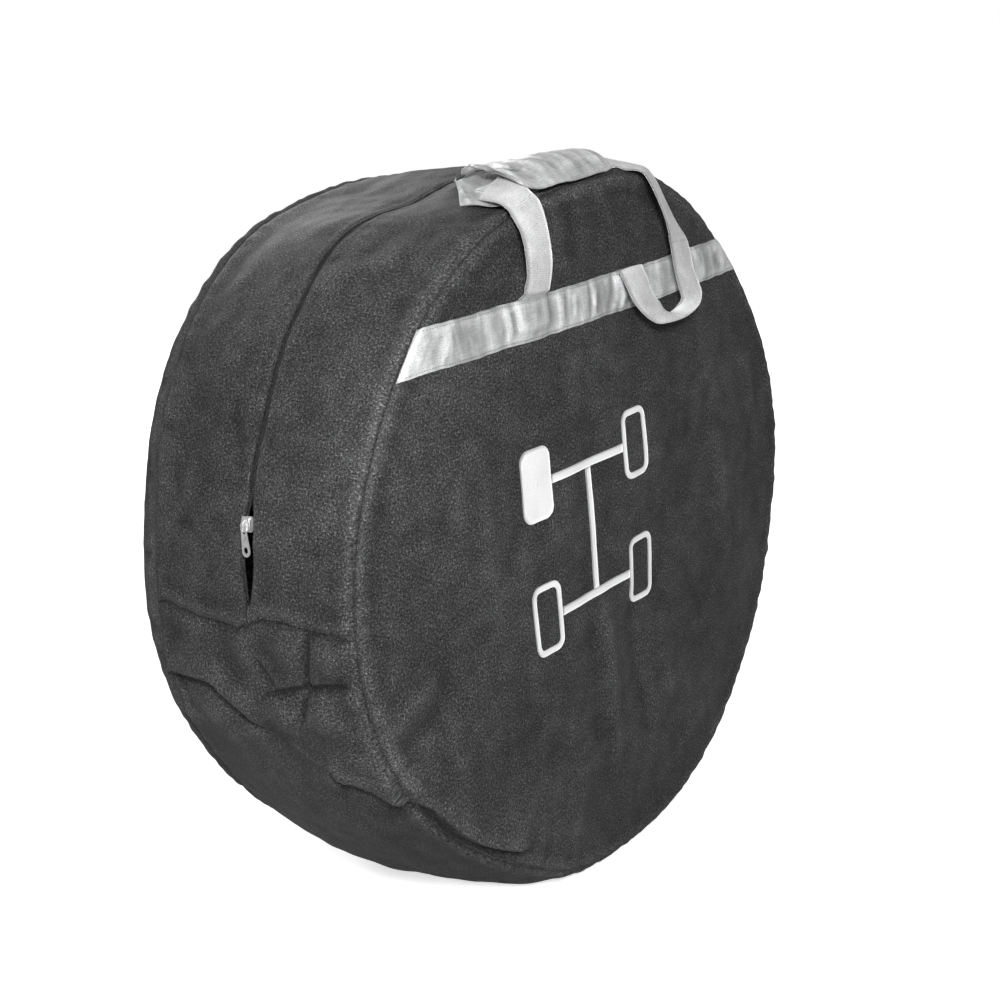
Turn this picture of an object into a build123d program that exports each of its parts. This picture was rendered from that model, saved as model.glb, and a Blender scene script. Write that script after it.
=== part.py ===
from build123d import *
from math import cos, radians, sin, sqrt
import os

# ---------------------------------------------------------------------------
# Zip-up wheel storage bag, standing on its tread in its filled shape.
#
# Frame: millimetres, +Z up.  The origin is the centre of the flattened patch
# that the bag stands on.  The disc axis runs along Y, the front face (the one
# with the printed sign) looks towards -Y.
# ---------------------------------------------------------------------------

# --- overall shape ----------------------------------------------------------
outer_radius = 350.0          # largest radius of the tread side
base_flatten = 8.0            # how far the filled bag squashes where it stands
axis_height = outer_radius - base_flatten
fabric = 1.6                  # wall of the coated cloth with its lining
seam_front_y = -131.0         # front seam plane, and the radius it runs at
seam_front_r = 336.0
seam_back_y = 113.0           # back seam plane
seam_back_r = 337.0
tread_mid_y = -9.0            # where the tread side is fullest
front_bulge_y = -147.0        # front face at its centre
back_bulge_y = 146.0          # back face at its centre

# --- the fold the front opens on --------------------------------------------
fold_z = 366.0                # cross seams and the front's fold line
fold_axis_y = -148.0          # just in front of the face at its fullest
half_gap = 0.2                # cloth stops this far short of the fold line

# --- zip ---------------------------------------------------------------------
zip_y = -19.0                 # the zip runs round the middle of the tread side
zip_slot = 6.0                # cloth edge to zip centre
tape_reach = 16.0             # tape edge to zip centre
tape_inner = 2.8
tape_r0, tape_r1 = 346.9, 347.5
coil_inner, coil_outer = 1.2, 2.6
coil_r0, coil_r1 = 346.2, 349.2
slider_angle = 164.3          # degrees from +X towards +Z, seen from the front
zip_low_angle = 174.9         # the coils end here on the left ...
zip_far_angle = 5.0           # ... and here on the right

# --- satin bands, handles, print ----------------------------------------------
band_z0, band_z1 = 544.0, 580.0
band_thick = 0.8
web_width = 40.0
web_thick = 1.6
leg_left_x = -92.0
leg_right_x = 124.0
swing_y = -147.4              # front handle's swing axis
swing_z = 582.4
grip_y0, grip_y1 = -118.0, -78.0
grip_r0 = 349.0
sleeve_y0, sleeve_y1 = -133.0, -67.0
sleeve_x0, sleeve_x1 = -128.0, 60.0
back_swing_y = 148.3          # back handle's swing axis
back_grip_z0, back_grip_z1 = 452.0, 492.0
print_x, print_z = -39.0, 358.0
print_size = 190.0
print_thick = 0.4

big = 900.0
centre = (0, 0, axis_height)
section_plane = Plane(origin=centre, x_dir=(0, 1, 0), z_dir=(1, 0, 0))
disc_axis = Axis(centre, (0, 1, 0))

os.makedirs("parts", exist_ok=True)
pieces = []


def finish(builder, name):
    builder.part.label = name
    pieces.append(builder)
    export_step(builder.part, f"parts/{name}.step")


def tread_radius(y):
    """Radius of the outside of the tread side at y, on the arc used below."""
    # circle through (seam_back_y, seam_back_r), (tread_mid_y, outer_radius), (seam_front_y, seam_front_r)
    x1, y1, x2, y2, x3, y3 = (seam_back_y, seam_back_r, tread_mid_y,
                              outer_radius, seam_front_y, seam_front_r)
    d = 2 * (x1 * (y2 - y3) + x2 * (y3 - y1) + x3 * (y1 - y2))
    ux = ((x1**2 + y1**2) * (y2 - y3) + (x2**2 + y2**2) * (y3 - y1) + (x3**2 + y3**2) * (y1 - y2)) / d
    uy = ((x1**2 + y1**2) * (x3 - x2) + (x2**2 + y2**2) * (x1 - x3) + (x3**2 + y3**2) * (x2 - x1)) / d
    r = sqrt((x1 - ux)**2 + (y1 - uy)**2)
    return uy + sqrt(r * r - (y - ux)**2)


# points of the two faces' sections, as (y, radius)
front_points = [(seam_front_y, seam_front_r), (-137.6, 285.0), (-143.2, 185.0),
                (-146.2, 85.0), (front_bulge_y, 0.0)]
back_points = [(seam_back_y, seam_back_r), (126.5, 315.0), (136.5, 268.0),
               (143.4, 160.0), (back_bulge_y, 0.0)]


def face_section(points, inner_shift, outer_shift):
    """Closed section of a layer on a domed face, between two shifts along Y."""
    tangents = [(points[1][0] - points[0][0], points[1][1] - points[0][1]), (0, -1)]
    a = [(y + inner_shift, r) for y, r in points]
    b = [(y + outer_shift, r) for y, r in points]
    with BuildSketch(section_plane) as section:
        with BuildLine():
            Spline(*a, tangents=tangents, tangent_scalars=[1, 1])
            Line(a[-1], b[-1])
            Spline(*b, tangents=tangents, tangent_scalars=[1, 1])
            Line(b[0], a[0])
        make_face()
    return section.sketch


# ---------------------------------------------------------------------------
# Tread side: outer and inner forms, both flattened where the bag stands
# ---------------------------------------------------------------------------
def tread_section(y0, y1, drop):
    """Section under the tread arc, lowered by drop, out from the disc axis."""
    ym = tread_mid_y if y0 < tread_mid_y < y1 else (y0 + y1) / 2
    with BuildSketch(section_plane) as section:
        with BuildLine():
            ThreePointArc((y0, tread_radius(y0) - drop), (ym, tread_radius(ym) - drop),
                          (y1, tread_radius(y1) - drop))
            Polyline((y1, tread_radius(y1) - drop), (y1, 0), (y0, 0), (y0, tread_radius(y0) - drop))
        make_face()
    return section.sketch


tread_y0 = seam_front_y + fabric
tread_y1 = seam_back_y - fabric

with BuildPart() as tread_core:
    revolve(tread_section(tread_y0 - 5, tread_y1 + 5, fabric), axis=disc_axis, revolution_arc=360)
    split(bisect_by=Plane.XY.offset(fabric), keep=Keep.TOP)

# The lower gusset: one strip from cross seam to cross seam, round underneath
with BuildPart() as lower_gusset:
    revolve(tread_section(tread_y0, tread_y1, 0), axis=disc_axis, revolution_arc=360)
    split(bisect_by=Plane.XY, keep=Keep.TOP)
    add(tread_core.part, mode=Mode.SUBTRACT)
    split(bisect_by=Plane.XY.offset(fold_z - half_gap), keep=Keep.BOTTOM)
finish(lower_gusset, "lower_gusset")

# The two strips either side of the zip, over the top of the wheel
with BuildPart() as upper_gusset_back:
    revolve(tread_section(zip_y + zip_slot, tread_y1, 0), axis=disc_axis, revolution_arc=360)
    add(tread_core.part, mode=Mode.SUBTRACT)
    split(bisect_by=Plane.XY.offset(fold_z - half_gap), keep=Keep.TOP)
finish(upper_gusset_back, "upper_gusset_back")

with BuildPart() as upper_gusset_front:
    revolve(tread_section(tread_y0, zip_y - zip_slot, 0), axis=disc_axis, revolution_arc=360)
    add(tread_core.part, mode=Mode.SUBTRACT)
    split(bisect_by=Plane.XY.offset(fold_z + half_gap), keep=Keep.TOP)
finish(upper_gusset_front, "upper_gusset_front")

# ---------------------------------------------------------------------------
# The two round faces
# ---------------------------------------------------------------------------
with BuildPart() as back_panel:
    revolve(face_section(back_points, -fabric, 0), axis=disc_axis, revolution_arc=360)
finish(back_panel, "back_panel")

with BuildPart() as lower_front_panel:
    revolve(face_section(front_points, fabric, 0), axis=disc_axis, revolution_arc=360)
    split(bisect_by=Plane.XY.offset(fold_z - half_gap), keep=Keep.BOTTOM)
finish(lower_front_panel, "lower_front_panel")

with BuildPart() as upper_front_panel:
    revolve(face_section(front_points, fabric, 0), axis=disc_axis, revolution_arc=360)
    split(bisect_by=Plane.XY.offset(fold_z + half_gap), keep=Keep.TOP)
finish(upper_front_panel, "upper_front_panel")

# ---------------------------------------------------------------------------
# Binding tapes over the raw seam edges, inside the bag
# ---------------------------------------------------------------------------
def ring_section(y0, y1, r0, r1):
    """Flat rectangular section of a tape that runs round the disc axis."""
    with BuildSketch(section_plane) as section:
        with BuildLine():
            Polyline((y0, r0), (y1, r0), (y1, r1), (y0, r1), (y0, r0))
        make_face()
    return section.sketch


binding_w, binding_t = 11.0, 0.8
front_binding_r = tread_radius(seam_front_y + 3) - fabric - 0.3
back_binding_r = tread_radius(seam_back_y - 3) - fabric - 0.3

with BuildPart() as back_seam_binding:
    revolve(ring_section(seam_back_y - 3 - binding_w, seam_back_y - 3,
                         back_binding_r - binding_t, back_binding_r), axis=disc_axis, revolution_arc=360)
finish(back_seam_binding, "back_seam_binding")

with BuildPart() as front_seam_binding_lower:
    revolve(ring_section(seam_front_y + 3, seam_front_y + 3 + binding_w,
                         front_binding_r - binding_t, front_binding_r), axis=disc_axis, revolution_arc=360)
    split(bisect_by=Plane.XY.offset(fold_z - half_gap), keep=Keep.BOTTOM)
finish(front_seam_binding_lower, "front_seam_binding_lower")

with BuildPart() as front_seam_binding_upper:
    revolve(ring_section(seam_front_y + 3, seam_front_y + 3 + binding_w,
                         front_binding_r - binding_t, front_binding_r), axis=disc_axis, revolution_arc=360)
    split(bisect_by=Plane.XY.offset(fold_z + half_gap), keep=Keep.TOP)
finish(front_seam_binding_upper, "front_seam_binding_upper")

# Tapes that back the two cross seams, along the top edge of the lower gusset
with BuildPart() as cross_seam_tapes:
    revolve(ring_section(seam_front_y + 17, seam_back_y - 17, 332.2, 333.0), axis=disc_axis, revolution_arc=360)
    split(bisect_by=Plane.XY.offset(fold_z - half_gap), keep=Keep.BOTTOM)
    split(bisect_by=Plane.XY.offset(fold_z - 15), keep=Keep.TOP)
finish(cross_seam_tapes, "cross_seam_tapes")

# ---------------------------------------------------------------------------
# Zip: tapes, coils, stops
# ---------------------------------------------------------------------------
def sector(start_angle, end_angle, r0, r1, y0, y1):
    """Ring sector about the disc axis between two angles, from y0 to y1."""
    with BuildPart(mode=Mode.PRIVATE) as s:
        with BuildSketch(Plane(origin=(0, y0, axis_height), x_dir=(1, 0, 0), z_dir=(0, 1, 0))):
            # this plane's local y points down, so the angle is measured the other way
            with BuildLine():
                a0, a1 = -start_angle, -end_angle
                am = (a0 + a1) / 2

                def at(r, a):
                    return (r * cos(radians(a)), r * sin(radians(a)))
                ThreePointArc(at(r1, a0), at(r1, am), at(r1, a1))
                Line(at(r1, a1), at(r0, a1))
                ThreePointArc(at(r0, a1), at(r0, am), at(r0, a0))
                Line(at(r0, a0), at(r1, a0))
            make_face()
        extrude(amount=y1 - y0)
    return s.part


with BuildPart() as zip_tape_back:
    add(sector(4.2, 175.8, tape_r0, tape_r1, zip_y + tape_inner, zip_y + tape_reach))
finish(zip_tape_back, "zip_tape_back")

with BuildPart() as zip_tape_front:
    add(sector(4.2, 175.8, tape_r0, tape_r1, zip_y - tape_reach, zip_y - tape_inner))
finish(zip_tape_front, "zip_tape_front")

with BuildPart() as zip_coil_back:
    add(sector(zip_far_angle, zip_low_angle, coil_r0, coil_r1, zip_y + coil_inner, zip_y + coil_outer))
finish(zip_coil_back, "zip_coil_back")

with BuildPart() as zip_coil_front:
    add(sector(zip_far_angle, zip_low_angle, coil_r0, coil_r1, zip_y - coil_outer, zip_y - coil_inner))
finish(zip_coil_front, "zip_coil_front")

with BuildPart() as zip_bottom_stop:
    add(sector(zip_low_angle + 0.1, zip_low_angle + 0.6, 345.9, 349.5, zip_y - 2.4, zip_y + 2.7))
finish(zip_bottom_stop, "zip_bottom_stop")

with BuildPart() as zip_top_stop_back:
    add(sector(zip_far_angle - 0.6, zip_far_angle - 0.1, 345.9, 349.5, zip_y + 0.6, zip_y + 2.7))
finish(zip_top_stop_back, "zip_top_stop_back")

with BuildPart() as zip_top_stop_front:
    add(sector(zip_far_angle - 0.6, zip_far_angle - 0.1, 345.9, 349.5, zip_y - 2.7, zip_y - 0.6))
finish(zip_top_stop_front, "zip_top_stop_front")

# ---------------------------------------------------------------------------
# Slider: local x points the way it closes, local y to the front, local z out
# ---------------------------------------------------------------------------
ar = radians(slider_angle)
slider_frame = Plane(origin=(0, zip_y, axis_height), x_dir=(-sin(ar), 0, cos(ar)), z_dir=(cos(ar), 0, sin(ar)))
slider_half = 4.8
bar_x, bar_z = 1.5, 351.75    # the bar of the pull tab, under the slider's bridge

with BuildPart() as zip_slider_body:
    for low, thick in ((344.6, 1.3), (349.5, 1.3)):
        with BuildSketch(slider_frame.offset(low)):
            with BuildLine():
                Polyline((-6.5, -3.4), (-1.0, -3.4), (2.5, -slider_half), (6.5, -slider_half),
                         (6.5, slider_half), (2.5, slider_half), (-1.0, 3.4), (-6.5, 3.4), close=True)
            make_face()
        extrude(amount=thick)
    # wedge between the two coils
    with BuildSketch(slider_frame.offset(345.9)):
        with Locations((4.0, 0)):
            SlotOverall(4.4, 1.8)
    extrude(amount=3.6)
    # flanges on the side that stays with the bag
    with BuildSketch(slider_frame.offset(348.1)):
        with Locations((4.2, -slider_half + 0.35)):
            Rectangle(4.6, 0.7)
    extrude(amount=1.4)
    with BuildSketch(slider_frame.offset(345.9)):
        with Locations((4.2, -slider_half + 0.35)):
            Rectangle(4.6, 0.7)
    extrude(amount=0.8)
    # bridge the pull tab hangs on
    with BuildSketch(slider_frame.offset(350.8)):
        with Locations((0.25, 0)):
            Rectangle(8.5, 2.2)
    extrude(amount=2.8)
    with BuildSketch(slider_frame.offset(350.8)):
        with Locations((0.25, 0)):
            Rectangle(5.3, 2.4)
    extrude(amount=1.8, mode=Mode.SUBTRACT)
    top_edges = zip_slider_body.edges().filter_by(lambda e: abs((e.center() - slider_frame.origin).dot(slider_frame.z_dir) - 353.6) < 0.01)
    fillet(top_edges, 0.5)
finish(zip_slider_body, "zip_slider_body")

with BuildPart() as zip_pull_tab:
    # plate with a round hole, hanging down the zip
    with BuildSketch(slider_frame.offset(bar_z - 0.6)):
        with BuildLine():
            Polyline((8.0, -3.2), (22.5, -4.4), (25.5, -3.6), (27.0, -1.6), (27.0, 1.6), (25.5, 3.6),
                     (22.5, 4.4), (8.0, 3.2), close=True)
        make_face()
        with Locations((21.4, 0)):
            Circle(2.8, mode=Mode.SUBTRACT)
    extrude(amount=1.2)
    # arms either side of the bridge, and the bar under it
    with BuildSketch(slider_frame.offset(bar_z - 0.6)):
        for side in (-1, 1):
            with Locations((bar_x + 3.5, side * 2.4)):
                Rectangle(8.2, 1.6)
    extrude(amount=1.2)
    with BuildSketch(Plane(origin=slider_frame.from_local_coords((bar_x, -3.2, bar_z)),
                           x_dir=slider_frame.x_dir, z_dir=slider_frame.y_dir)):
        Circle(0.6)
    extrude(amount=6.4)
finish(zip_pull_tab, "zip_pull_tab")

# ---------------------------------------------------------------------------
# Satin bands across both faces, and their edge stitching
# ---------------------------------------------------------------------------
def face_layer(points, near, far):
    """A thin domed layer lying on one of the faces, as its own solid."""
    with BuildPart(mode=Mode.PRIVATE) as layer:
        revolve(face_section(points, near, far), axis=disc_axis, revolution_arc=360)
    return layer.part


front_band_layer = face_layer(front_points, -0.1, -0.1 - band_thick)
back_band_layer = face_layer(back_points, 0.1, 0.1 + band_thick)
front_thread_layer = face_layer(front_points, -0.1 - band_thick, -0.5 - band_thick)
back_thread_layer = face_layer(back_points, 0.1 + band_thick, 0.5 + band_thick)

with BuildPart() as front_band:
    add(front_band_layer)
    split(bisect_by=Plane.XY.offset(band_z0), keep=Keep.TOP)
    split(bisect_by=Plane.XY.offset(band_z1), keep=Keep.BOTTOM)
finish(front_band, "front_band")

with BuildPart() as back_band:
    add(back_band_layer)
    split(bisect_by=Plane.XY.offset(band_z0), keep=Keep.TOP)
    split(bisect_by=Plane.XY.offset(band_z1), keep=Keep.BOTTOM)
finish(back_band, "back_band")


# two stitched lines, 2.4 mm in from the band's edges
thread_rows = (band_z0 + 2.4, band_z1 - 2.4)

with BuildPart() as front_band_stitching:
    with BuildSketch(Plane.XZ.offset(-400)):
        for z in thread_rows:
            with Locations((0, z)):
                Rectangle(480, 0.7)
    extrude(amount=800)
    add(front_thread_layer, mode=Mode.INTERSECT)
finish(front_band_stitching, "front_band_stitching")

with BuildPart() as back_band_stitching:
    with BuildSketch(Plane.XZ.offset(-400)):
        for z in thread_rows:
            with Locations((0, z)):
                Rectangle(480, 0.7)
    extrude(amount=800)
    add(back_thread_layer, mode=Mode.INTERSECT)
finish(back_band_stitching, "back_band_stitching")

# ---------------------------------------------------------------------------
# Printed sign on the front: four wheels on two axles, seen from above.
# The fold line runs through it, so it is two solids on the two bodies.
# ---------------------------------------------------------------------------
wheel_w, wheel_h = 40.0, 66.0
track = print_size - wheel_w
base = print_size - wheel_h
stroke = 6.0
print_layer = face_layer(front_points, -0.1, -0.1 - print_thick)


with BuildSketch(Plane(origin=(print_x, -100, print_z), x_dir=(1, 0, 0), z_dir=(0, -1, 0))) as print_outline:
    with Locations((-track / 2, base / 2), (track / 2, base / 2), (-track / 2, -base / 2), (track / 2, -base / 2)):
        RectangleRounded(wheel_w, wheel_h, 11)
    with Locations((-track / 2, -base / 2), (track / 2, base / 2), (track / 2, -base / 2)):
        RectangleRounded(wheel_w - 2 * stroke, wheel_h - 2 * stroke, 6, mode=Mode.SUBTRACT)
    with Locations((0, base / 2), (0, -base / 2)):
        Rectangle(track - wheel_w - 8, 8)
    Rectangle(8, base)

with BuildPart() as front_print_upper:
    extrude(print_outline.sketch, amount=100)
    add(print_layer, mode=Mode.INTERSECT)
    split(bisect_by=Plane.XY.offset(fold_z + half_gap), keep=Keep.TOP)
finish(front_print_upper, "front_print_upper")

with BuildPart() as front_print_lower:
    extrude(print_outline.sketch, amount=100)
    add(print_layer, mode=Mode.INTERSECT)
    split(bisect_by=Plane.XY.offset(fold_z - half_gap), keep=Keep.BOTTOM)
finish(front_print_lower, "front_print_lower")

# ---------------------------------------------------------------------------
# Front handle: webbing up from the band, over the rim and along the top,
# lying flopped back on the tread side
# ---------------------------------------------------------------------------
def angle_at(x, r):
    """Angle in degrees from +X towards +Z of the point at x on radius r."""
    from math import acos, degrees
    return degrees(acos(x / r))


leg_y0, leg_y1 = swing_y - web_thick / 2, swing_y + web_thick / 2
grip_r1 = grip_r0 + web_thick
legs = (leg_left_x, leg_right_x)

with BuildPart() as front_handle_webbing:
    # along the top
    add(sector(angle_at(leg_right_x + web_width / 2, grip_r0), angle_at(leg_left_x - web_width / 2, grip_r0),
               grip_r0, grip_r1, grip_y0, grip_y1))
    # back over the rim
    for x in legs:
        add(sector(angle_at(x + web_width / 2, grip_r0), angle_at(x - web_width / 2, grip_r0),
                   grip_r0, grip_r1, leg_y0, grip_y0))
    # up the front
    with BuildSketch(Plane.XZ.offset(-leg_y0)):
        for x in legs:
            with Locations((x, (swing_z + 720) / 2)):
                Rectangle(web_width, 720 - swing_z)
    extrude(amount=-web_thick)
    with BuildSketch(Plane(origin=(0, -200, axis_height), x_dir=(1, 0, 0), z_dir=(0, 1, 0))):
        Circle(520)
        Circle(grip_r1, mode=Mode.SUBTRACT)
    extrude(amount=200, mode=Mode.SUBTRACT)
finish(front_handle_webbing, "front_handle_webbing")

with BuildPart() as front_grip_sleeve:
    add(sector(angle_at(sleeve_x1, 350), angle_at(sleeve_x0, 350), grip_r0 - 1.2, grip_r1 + 1.2, sleeve_y0, sleeve_y1))
    add(sector(angle_at(sleeve_x1 + 30, 350), angle_at(sleeve_x0 - 30, 350), grip_r0 - 0.2, grip_r1 + 0.2,
               grip_y0 - 0.5, grip_y1 + 0.5), mode=Mode.SUBTRACT)
    # the left leg of the webbing leaves through the sleeve's front edge
    add(sector(angle_at(leg_left_x + web_width / 2 + 0.5, 350), angle_at(leg_left_x - web_width / 2 - 0.5, 350),
               grip_r0 - 0.2, grip_r1 + 0.2, sleeve_y0 - 5, grip_y0), mode=Mode.SUBTRACT)
finish(front_grip_sleeve, "front_grip_sleeve")

# Slack of the right leg, curled in front of the band: it is sewn behind the
# band's top edge, drops, turns and climbs again
loop_y = -145.2
with BuildPart() as front_handle_slack:
    with BuildSketch(Plane.XZ.offset(-loop_y)):
        with BuildLine():
            Polyline((35, 581.8), (44, 566), (54, 552), (68, 536), (84, 526), (100, 521.5), (122, 522.5), (150, 532),
                     (164, 544), (160, 562), (148, 581.8), (116, 581.8), (124, 562), (129, 547), (120, 536),
                     (104, 540), (88, 554), (78, 567), (73, 581.8), close=True)
        make_face()
    extrude(amount=-1.2)
finish(front_handle_slack, "front_handle_slack")

# The webbing's ends, sewn down along the band's top edge
with BuildPart() as front_webbing_ends:
    with BuildSketch(Plane.XZ.offset(-400)):
        with Locations((leg_left_x, band_z1 + 0.95), (54.0, band_z1 + 0.95)):
            Rectangle(web_width, 1.7)
    extrude(amount=800)
    add(face_layer(front_points, -0.1, -1.7), mode=Mode.INTERSECT)
finish(front_webbing_ends, "front_webbing_ends")

with BuildPart() as back_webbing_ends:
    with BuildSketch(Plane.XZ.offset(-400)):
        with Locations((leg_left_x, band_z1 + 0.95), (leg_right_x, band_z1 + 0.95)):
            Rectangle(web_width, 1.7)
    extrude(amount=800)
    add(face_layer(back_points, 0.1, 1.7), mode=Mode.INTERSECT)
finish(back_webbing_ends, "back_webbing_ends")

# ---------------------------------------------------------------------------
# Back handle: hangs down behind the back face
# ---------------------------------------------------------------------------
with BuildPart() as back_handle_webbing:
    with BuildSketch(Plane.XZ.offset(-(back_swing_y + web_thick / 2))):
        for x in legs:
            with Locations((x, (back_grip_z0 + swing_z) / 2)):
                Rectangle(web_width, swing_z - back_grip_z0)
        with Locations(((legs[0] + legs[1]) / 2, (back_grip_z0 + back_grip_z1) / 2)):
            Rectangle(legs[1] - legs[0] + web_width, back_grip_z1 - back_grip_z0)
    extrude(amount=web_thick)
    corners = back_handle_webbing.edges().filter_by(Axis.Y).group_by(Axis.Z)[0]
    fillet(corners, 14)
finish(back_handle_webbing, "back_handle_webbing")

with BuildPart() as back_grip_sleeve:
    with BuildSketch(Plane.XZ.offset(-(back_swing_y + 2.0))):
        with Locations(((legs[0] + legs[1]) / 2, (back_grip_z0 + back_grip_z1) / 2)):
            Rectangle(160, 58)
    extrude(amount=4.0)
    with BuildSketch(Plane.XZ.offset(-(back_swing_y + web_thick / 2 + 0.2))):
        with Locations(((legs[0] + legs[1]) / 2, (back_grip_z0 + back_grip_z1) / 2)):
            Rectangle(170, web_width + 1)
    extrude(amount=web_thick + 0.4, mode=Mode.SUBTRACT)
finish(back_grip_sleeve, "back_grip_sleeve")

if __name__ == "__main__":
    lo, hi = [1e9] * 3, [-1e9] * 3
    for b in pieces:
        bb = b.part.bounding_box()
        for i, (a, c) in enumerate(zip(tuple(bb.min), tuple(bb.max))):
            lo[i], hi[i] = min(lo[i], a), max(hi[i], c)
    print("pieces", len(pieces), "box", [round(v, 2) for v in lo], [round(v, 2) for v in hi])
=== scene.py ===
import math

import bpy
import numpy as np
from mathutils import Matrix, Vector, noise


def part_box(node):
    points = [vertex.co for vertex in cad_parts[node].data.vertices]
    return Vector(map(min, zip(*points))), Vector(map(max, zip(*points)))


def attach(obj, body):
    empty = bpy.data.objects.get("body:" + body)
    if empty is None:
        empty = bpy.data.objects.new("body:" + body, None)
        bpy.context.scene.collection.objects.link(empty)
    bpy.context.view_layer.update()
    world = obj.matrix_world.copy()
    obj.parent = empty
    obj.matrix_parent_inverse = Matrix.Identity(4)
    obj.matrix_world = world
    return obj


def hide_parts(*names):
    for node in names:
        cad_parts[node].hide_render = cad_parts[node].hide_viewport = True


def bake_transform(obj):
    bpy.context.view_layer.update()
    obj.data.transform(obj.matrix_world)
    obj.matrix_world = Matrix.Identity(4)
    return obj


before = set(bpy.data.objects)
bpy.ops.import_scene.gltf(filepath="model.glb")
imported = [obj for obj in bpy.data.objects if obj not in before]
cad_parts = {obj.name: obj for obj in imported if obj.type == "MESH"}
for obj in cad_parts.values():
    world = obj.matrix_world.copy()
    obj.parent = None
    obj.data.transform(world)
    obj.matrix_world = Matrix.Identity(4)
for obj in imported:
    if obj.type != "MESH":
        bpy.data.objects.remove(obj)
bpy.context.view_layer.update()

# ---------------------------------------------------------------------------
# The bag's shape. Angles run round the disc axis, 0 at +X and 90 at the top.
# The numbers are millimetres that the soft bag stands off the round CAD form,
# every 15 degrees.
# ---------------------------------------------------------------------------
AXIS_Z = 0.342
FRONT_R, FRONT_Y = 336.0, -131.0
MID_R, MID_Y = 350.0, -9.0
BACK_R, BACK_Y = 337.0, 113.0
K = 24
rf = [1.7, 1.7, -0.3, -1.9, -0.8, -2.8, -11.5, -11.9, -7.1, -3.3, -1.1, 1.1, 1.5, -1.0, -6.9, -14.4, -15.5, -5.4, -0.8, 3.7, 4.5, 2.4, 1.4, 0.5]
yf = [-0.9, -1.7, -0.3, 0.7, -1.3, -3.7, -3.6, -2.1, -1.1, -1.1, -0.7, 1.2, 2.5, 2.4, 1.5, 0.3, -0.7, -0.8, 0.5, -1.2, -1.1, 0.7, 0.9, 1.7]
rm = [1.0, 0.7, -0.1, -1.5, -4.0, -8.7, -15.1, -18.4, -0.6, 1.8, -0.7, -1.4, -3.4, -1.7, -1.0, 1.2, 5.3, 11.2, 7.3, 4.4, 2.9, 1.9, 1.3, 1.0]
ym = [0.1, 0.1, 0.1, -0.1, -0.6, -1.7, -2.8, -2.5, 3.9, -1.5, -6.5, -7.0, -8.1, -4.4, -2.2, -2.7, -6.0, -7.9, -4.6, -1.8, -0.2, 0.2, 0.3, 0.2]
rb = [0.9, 0.6, -0.4, -2.1, -4.7, -7.1, -7.1, -3.7, 6.1, 7.5, 5.0, 0.4, 3.3, 3.2, 0.4, 1.5, 2.9, 4.3, 5.1, 4.3, 3.0, 1.9, 1.3, 1.0]
yb = [0, -0.1, -0.1, -0.1, 0.1, 0.6, 1.7, 2.9, 4.3, 2.7, -0.7, -5.7, -6.2, -3.2, -1.2, 0.4, 1.6, 1.9, 1.1, 0.4, 0, -0.1, -0.1, 0]
# the zip line, as millimetres in front of or behind the CAD zip's own plane
ZIP_Y = (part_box("zip_coil_back")[0].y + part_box("zip_coil_front")[1].y) / 2 * 1000
zd = [0, 0, 0, 0, 1.0, 3.0, 2.6, 3.2, 7.5, 3.4, -0.6, -0.9, 0, 0, 0, 0, 0, 0, 0, 0, 0, 0, 0, 0]


def per(vals, a):
    """Smooth periodic reading of a table at angles a, in degrees."""
    vals = np.asarray(vals, float)
    t = (np.asarray(a, float) % 360) / (360 / K)
    i = np.floor(t).astype(int)
    f = t - i
    p0, p1, p2, p3 = vals[(i - 1) % K], vals[i % K], vals[(i + 1) % K], vals[(i + 2) % K]
    return 0.5 * ((2 * p1) + (-p0 + p2) * f + (2 * p0 - 5 * p1 + 4 * p2 - p3) * f * f + (-p0 + 3 * p1 - 3 * p2 + p3) * f ** 3)


def smooth(x, a, b):
    t = np.clip((x - a) / (b - a), 0, 1)
    return t * t * (3 - 2 * t)


def gauss(x, w):
    return np.exp(-(x / w) ** 2)


def place(r, y, A):
    a = np.radians(A)
    return np.stack([r * np.cos(a), y, r * np.sin(a) + AXIS_Z * 1000], -1)


def gusset(A, T):
    """Tread surface: T is -1 at the front seam and 1 at the back seam. Millimetres."""
    L0, L1, L2 = T * (T - 1) / 2, 1 - T * T, T * (T + 1) / 2
    r = (FRONT_R + per(rf, A)) * L0 + (MID_R + per(rm, A)) * L1 + (BACK_R + per(rb, A)) * L2
    y = (FRONT_Y + per(yf, A)) * L0 + (MID_Y + per(ym, A)) * L1 + (BACK_Y + per(yb, A)) * L2
    return place(r, y, A)


def gusset_t(A, y):
    """The T of a point of the tread at that y."""
    y0, y1, y2 = FRONT_Y + per(yf, A), MID_Y + per(ym, A), BACK_Y + per(yb, A)
    a, b, c = (y0 + y2) / 2 - y1, (y2 - y0) / 2, y1 - y
    s = np.sqrt(np.maximum(b * b - 4 * a * c, 0))
    return np.where(np.abs(a) < 1e-3, -c / b, 2 * -c / (b + s))


def front(A, q):
    """Front face: q is 0 at the centre and 1 at the seam."""
    r = q * (FRONT_R + per(rf, A))
    y = -147 + (16 + per(yf, A)) * q ** 3
    return place(r, y, A)


def back(A, t):
    """Back face: a rounded corner from the seam at t 1 to 0.6, then a shallow dome."""
    R, y0, c = BACK_R + per(rb, A), BACK_Y + per(yb, A), 24.0
    ph = np.clip((1 - t) / 0.4, 0, 1) * np.pi / 2
    q = np.clip(t / 0.6, 0, 1)
    corner = t >= 0.6
    r = np.where(corner, R - c + c * np.cos(ph) + 2.0 * np.sin(2 * ph), q * (R - c))
    y = np.where(corner, y0 + (136 - y0) * np.sin(ph), 146 - 10 * q ** 2.5)
    return place(r, y, A)


def zip_line_y(A):
    return ZIP_Y + per(zd, A)


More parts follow.
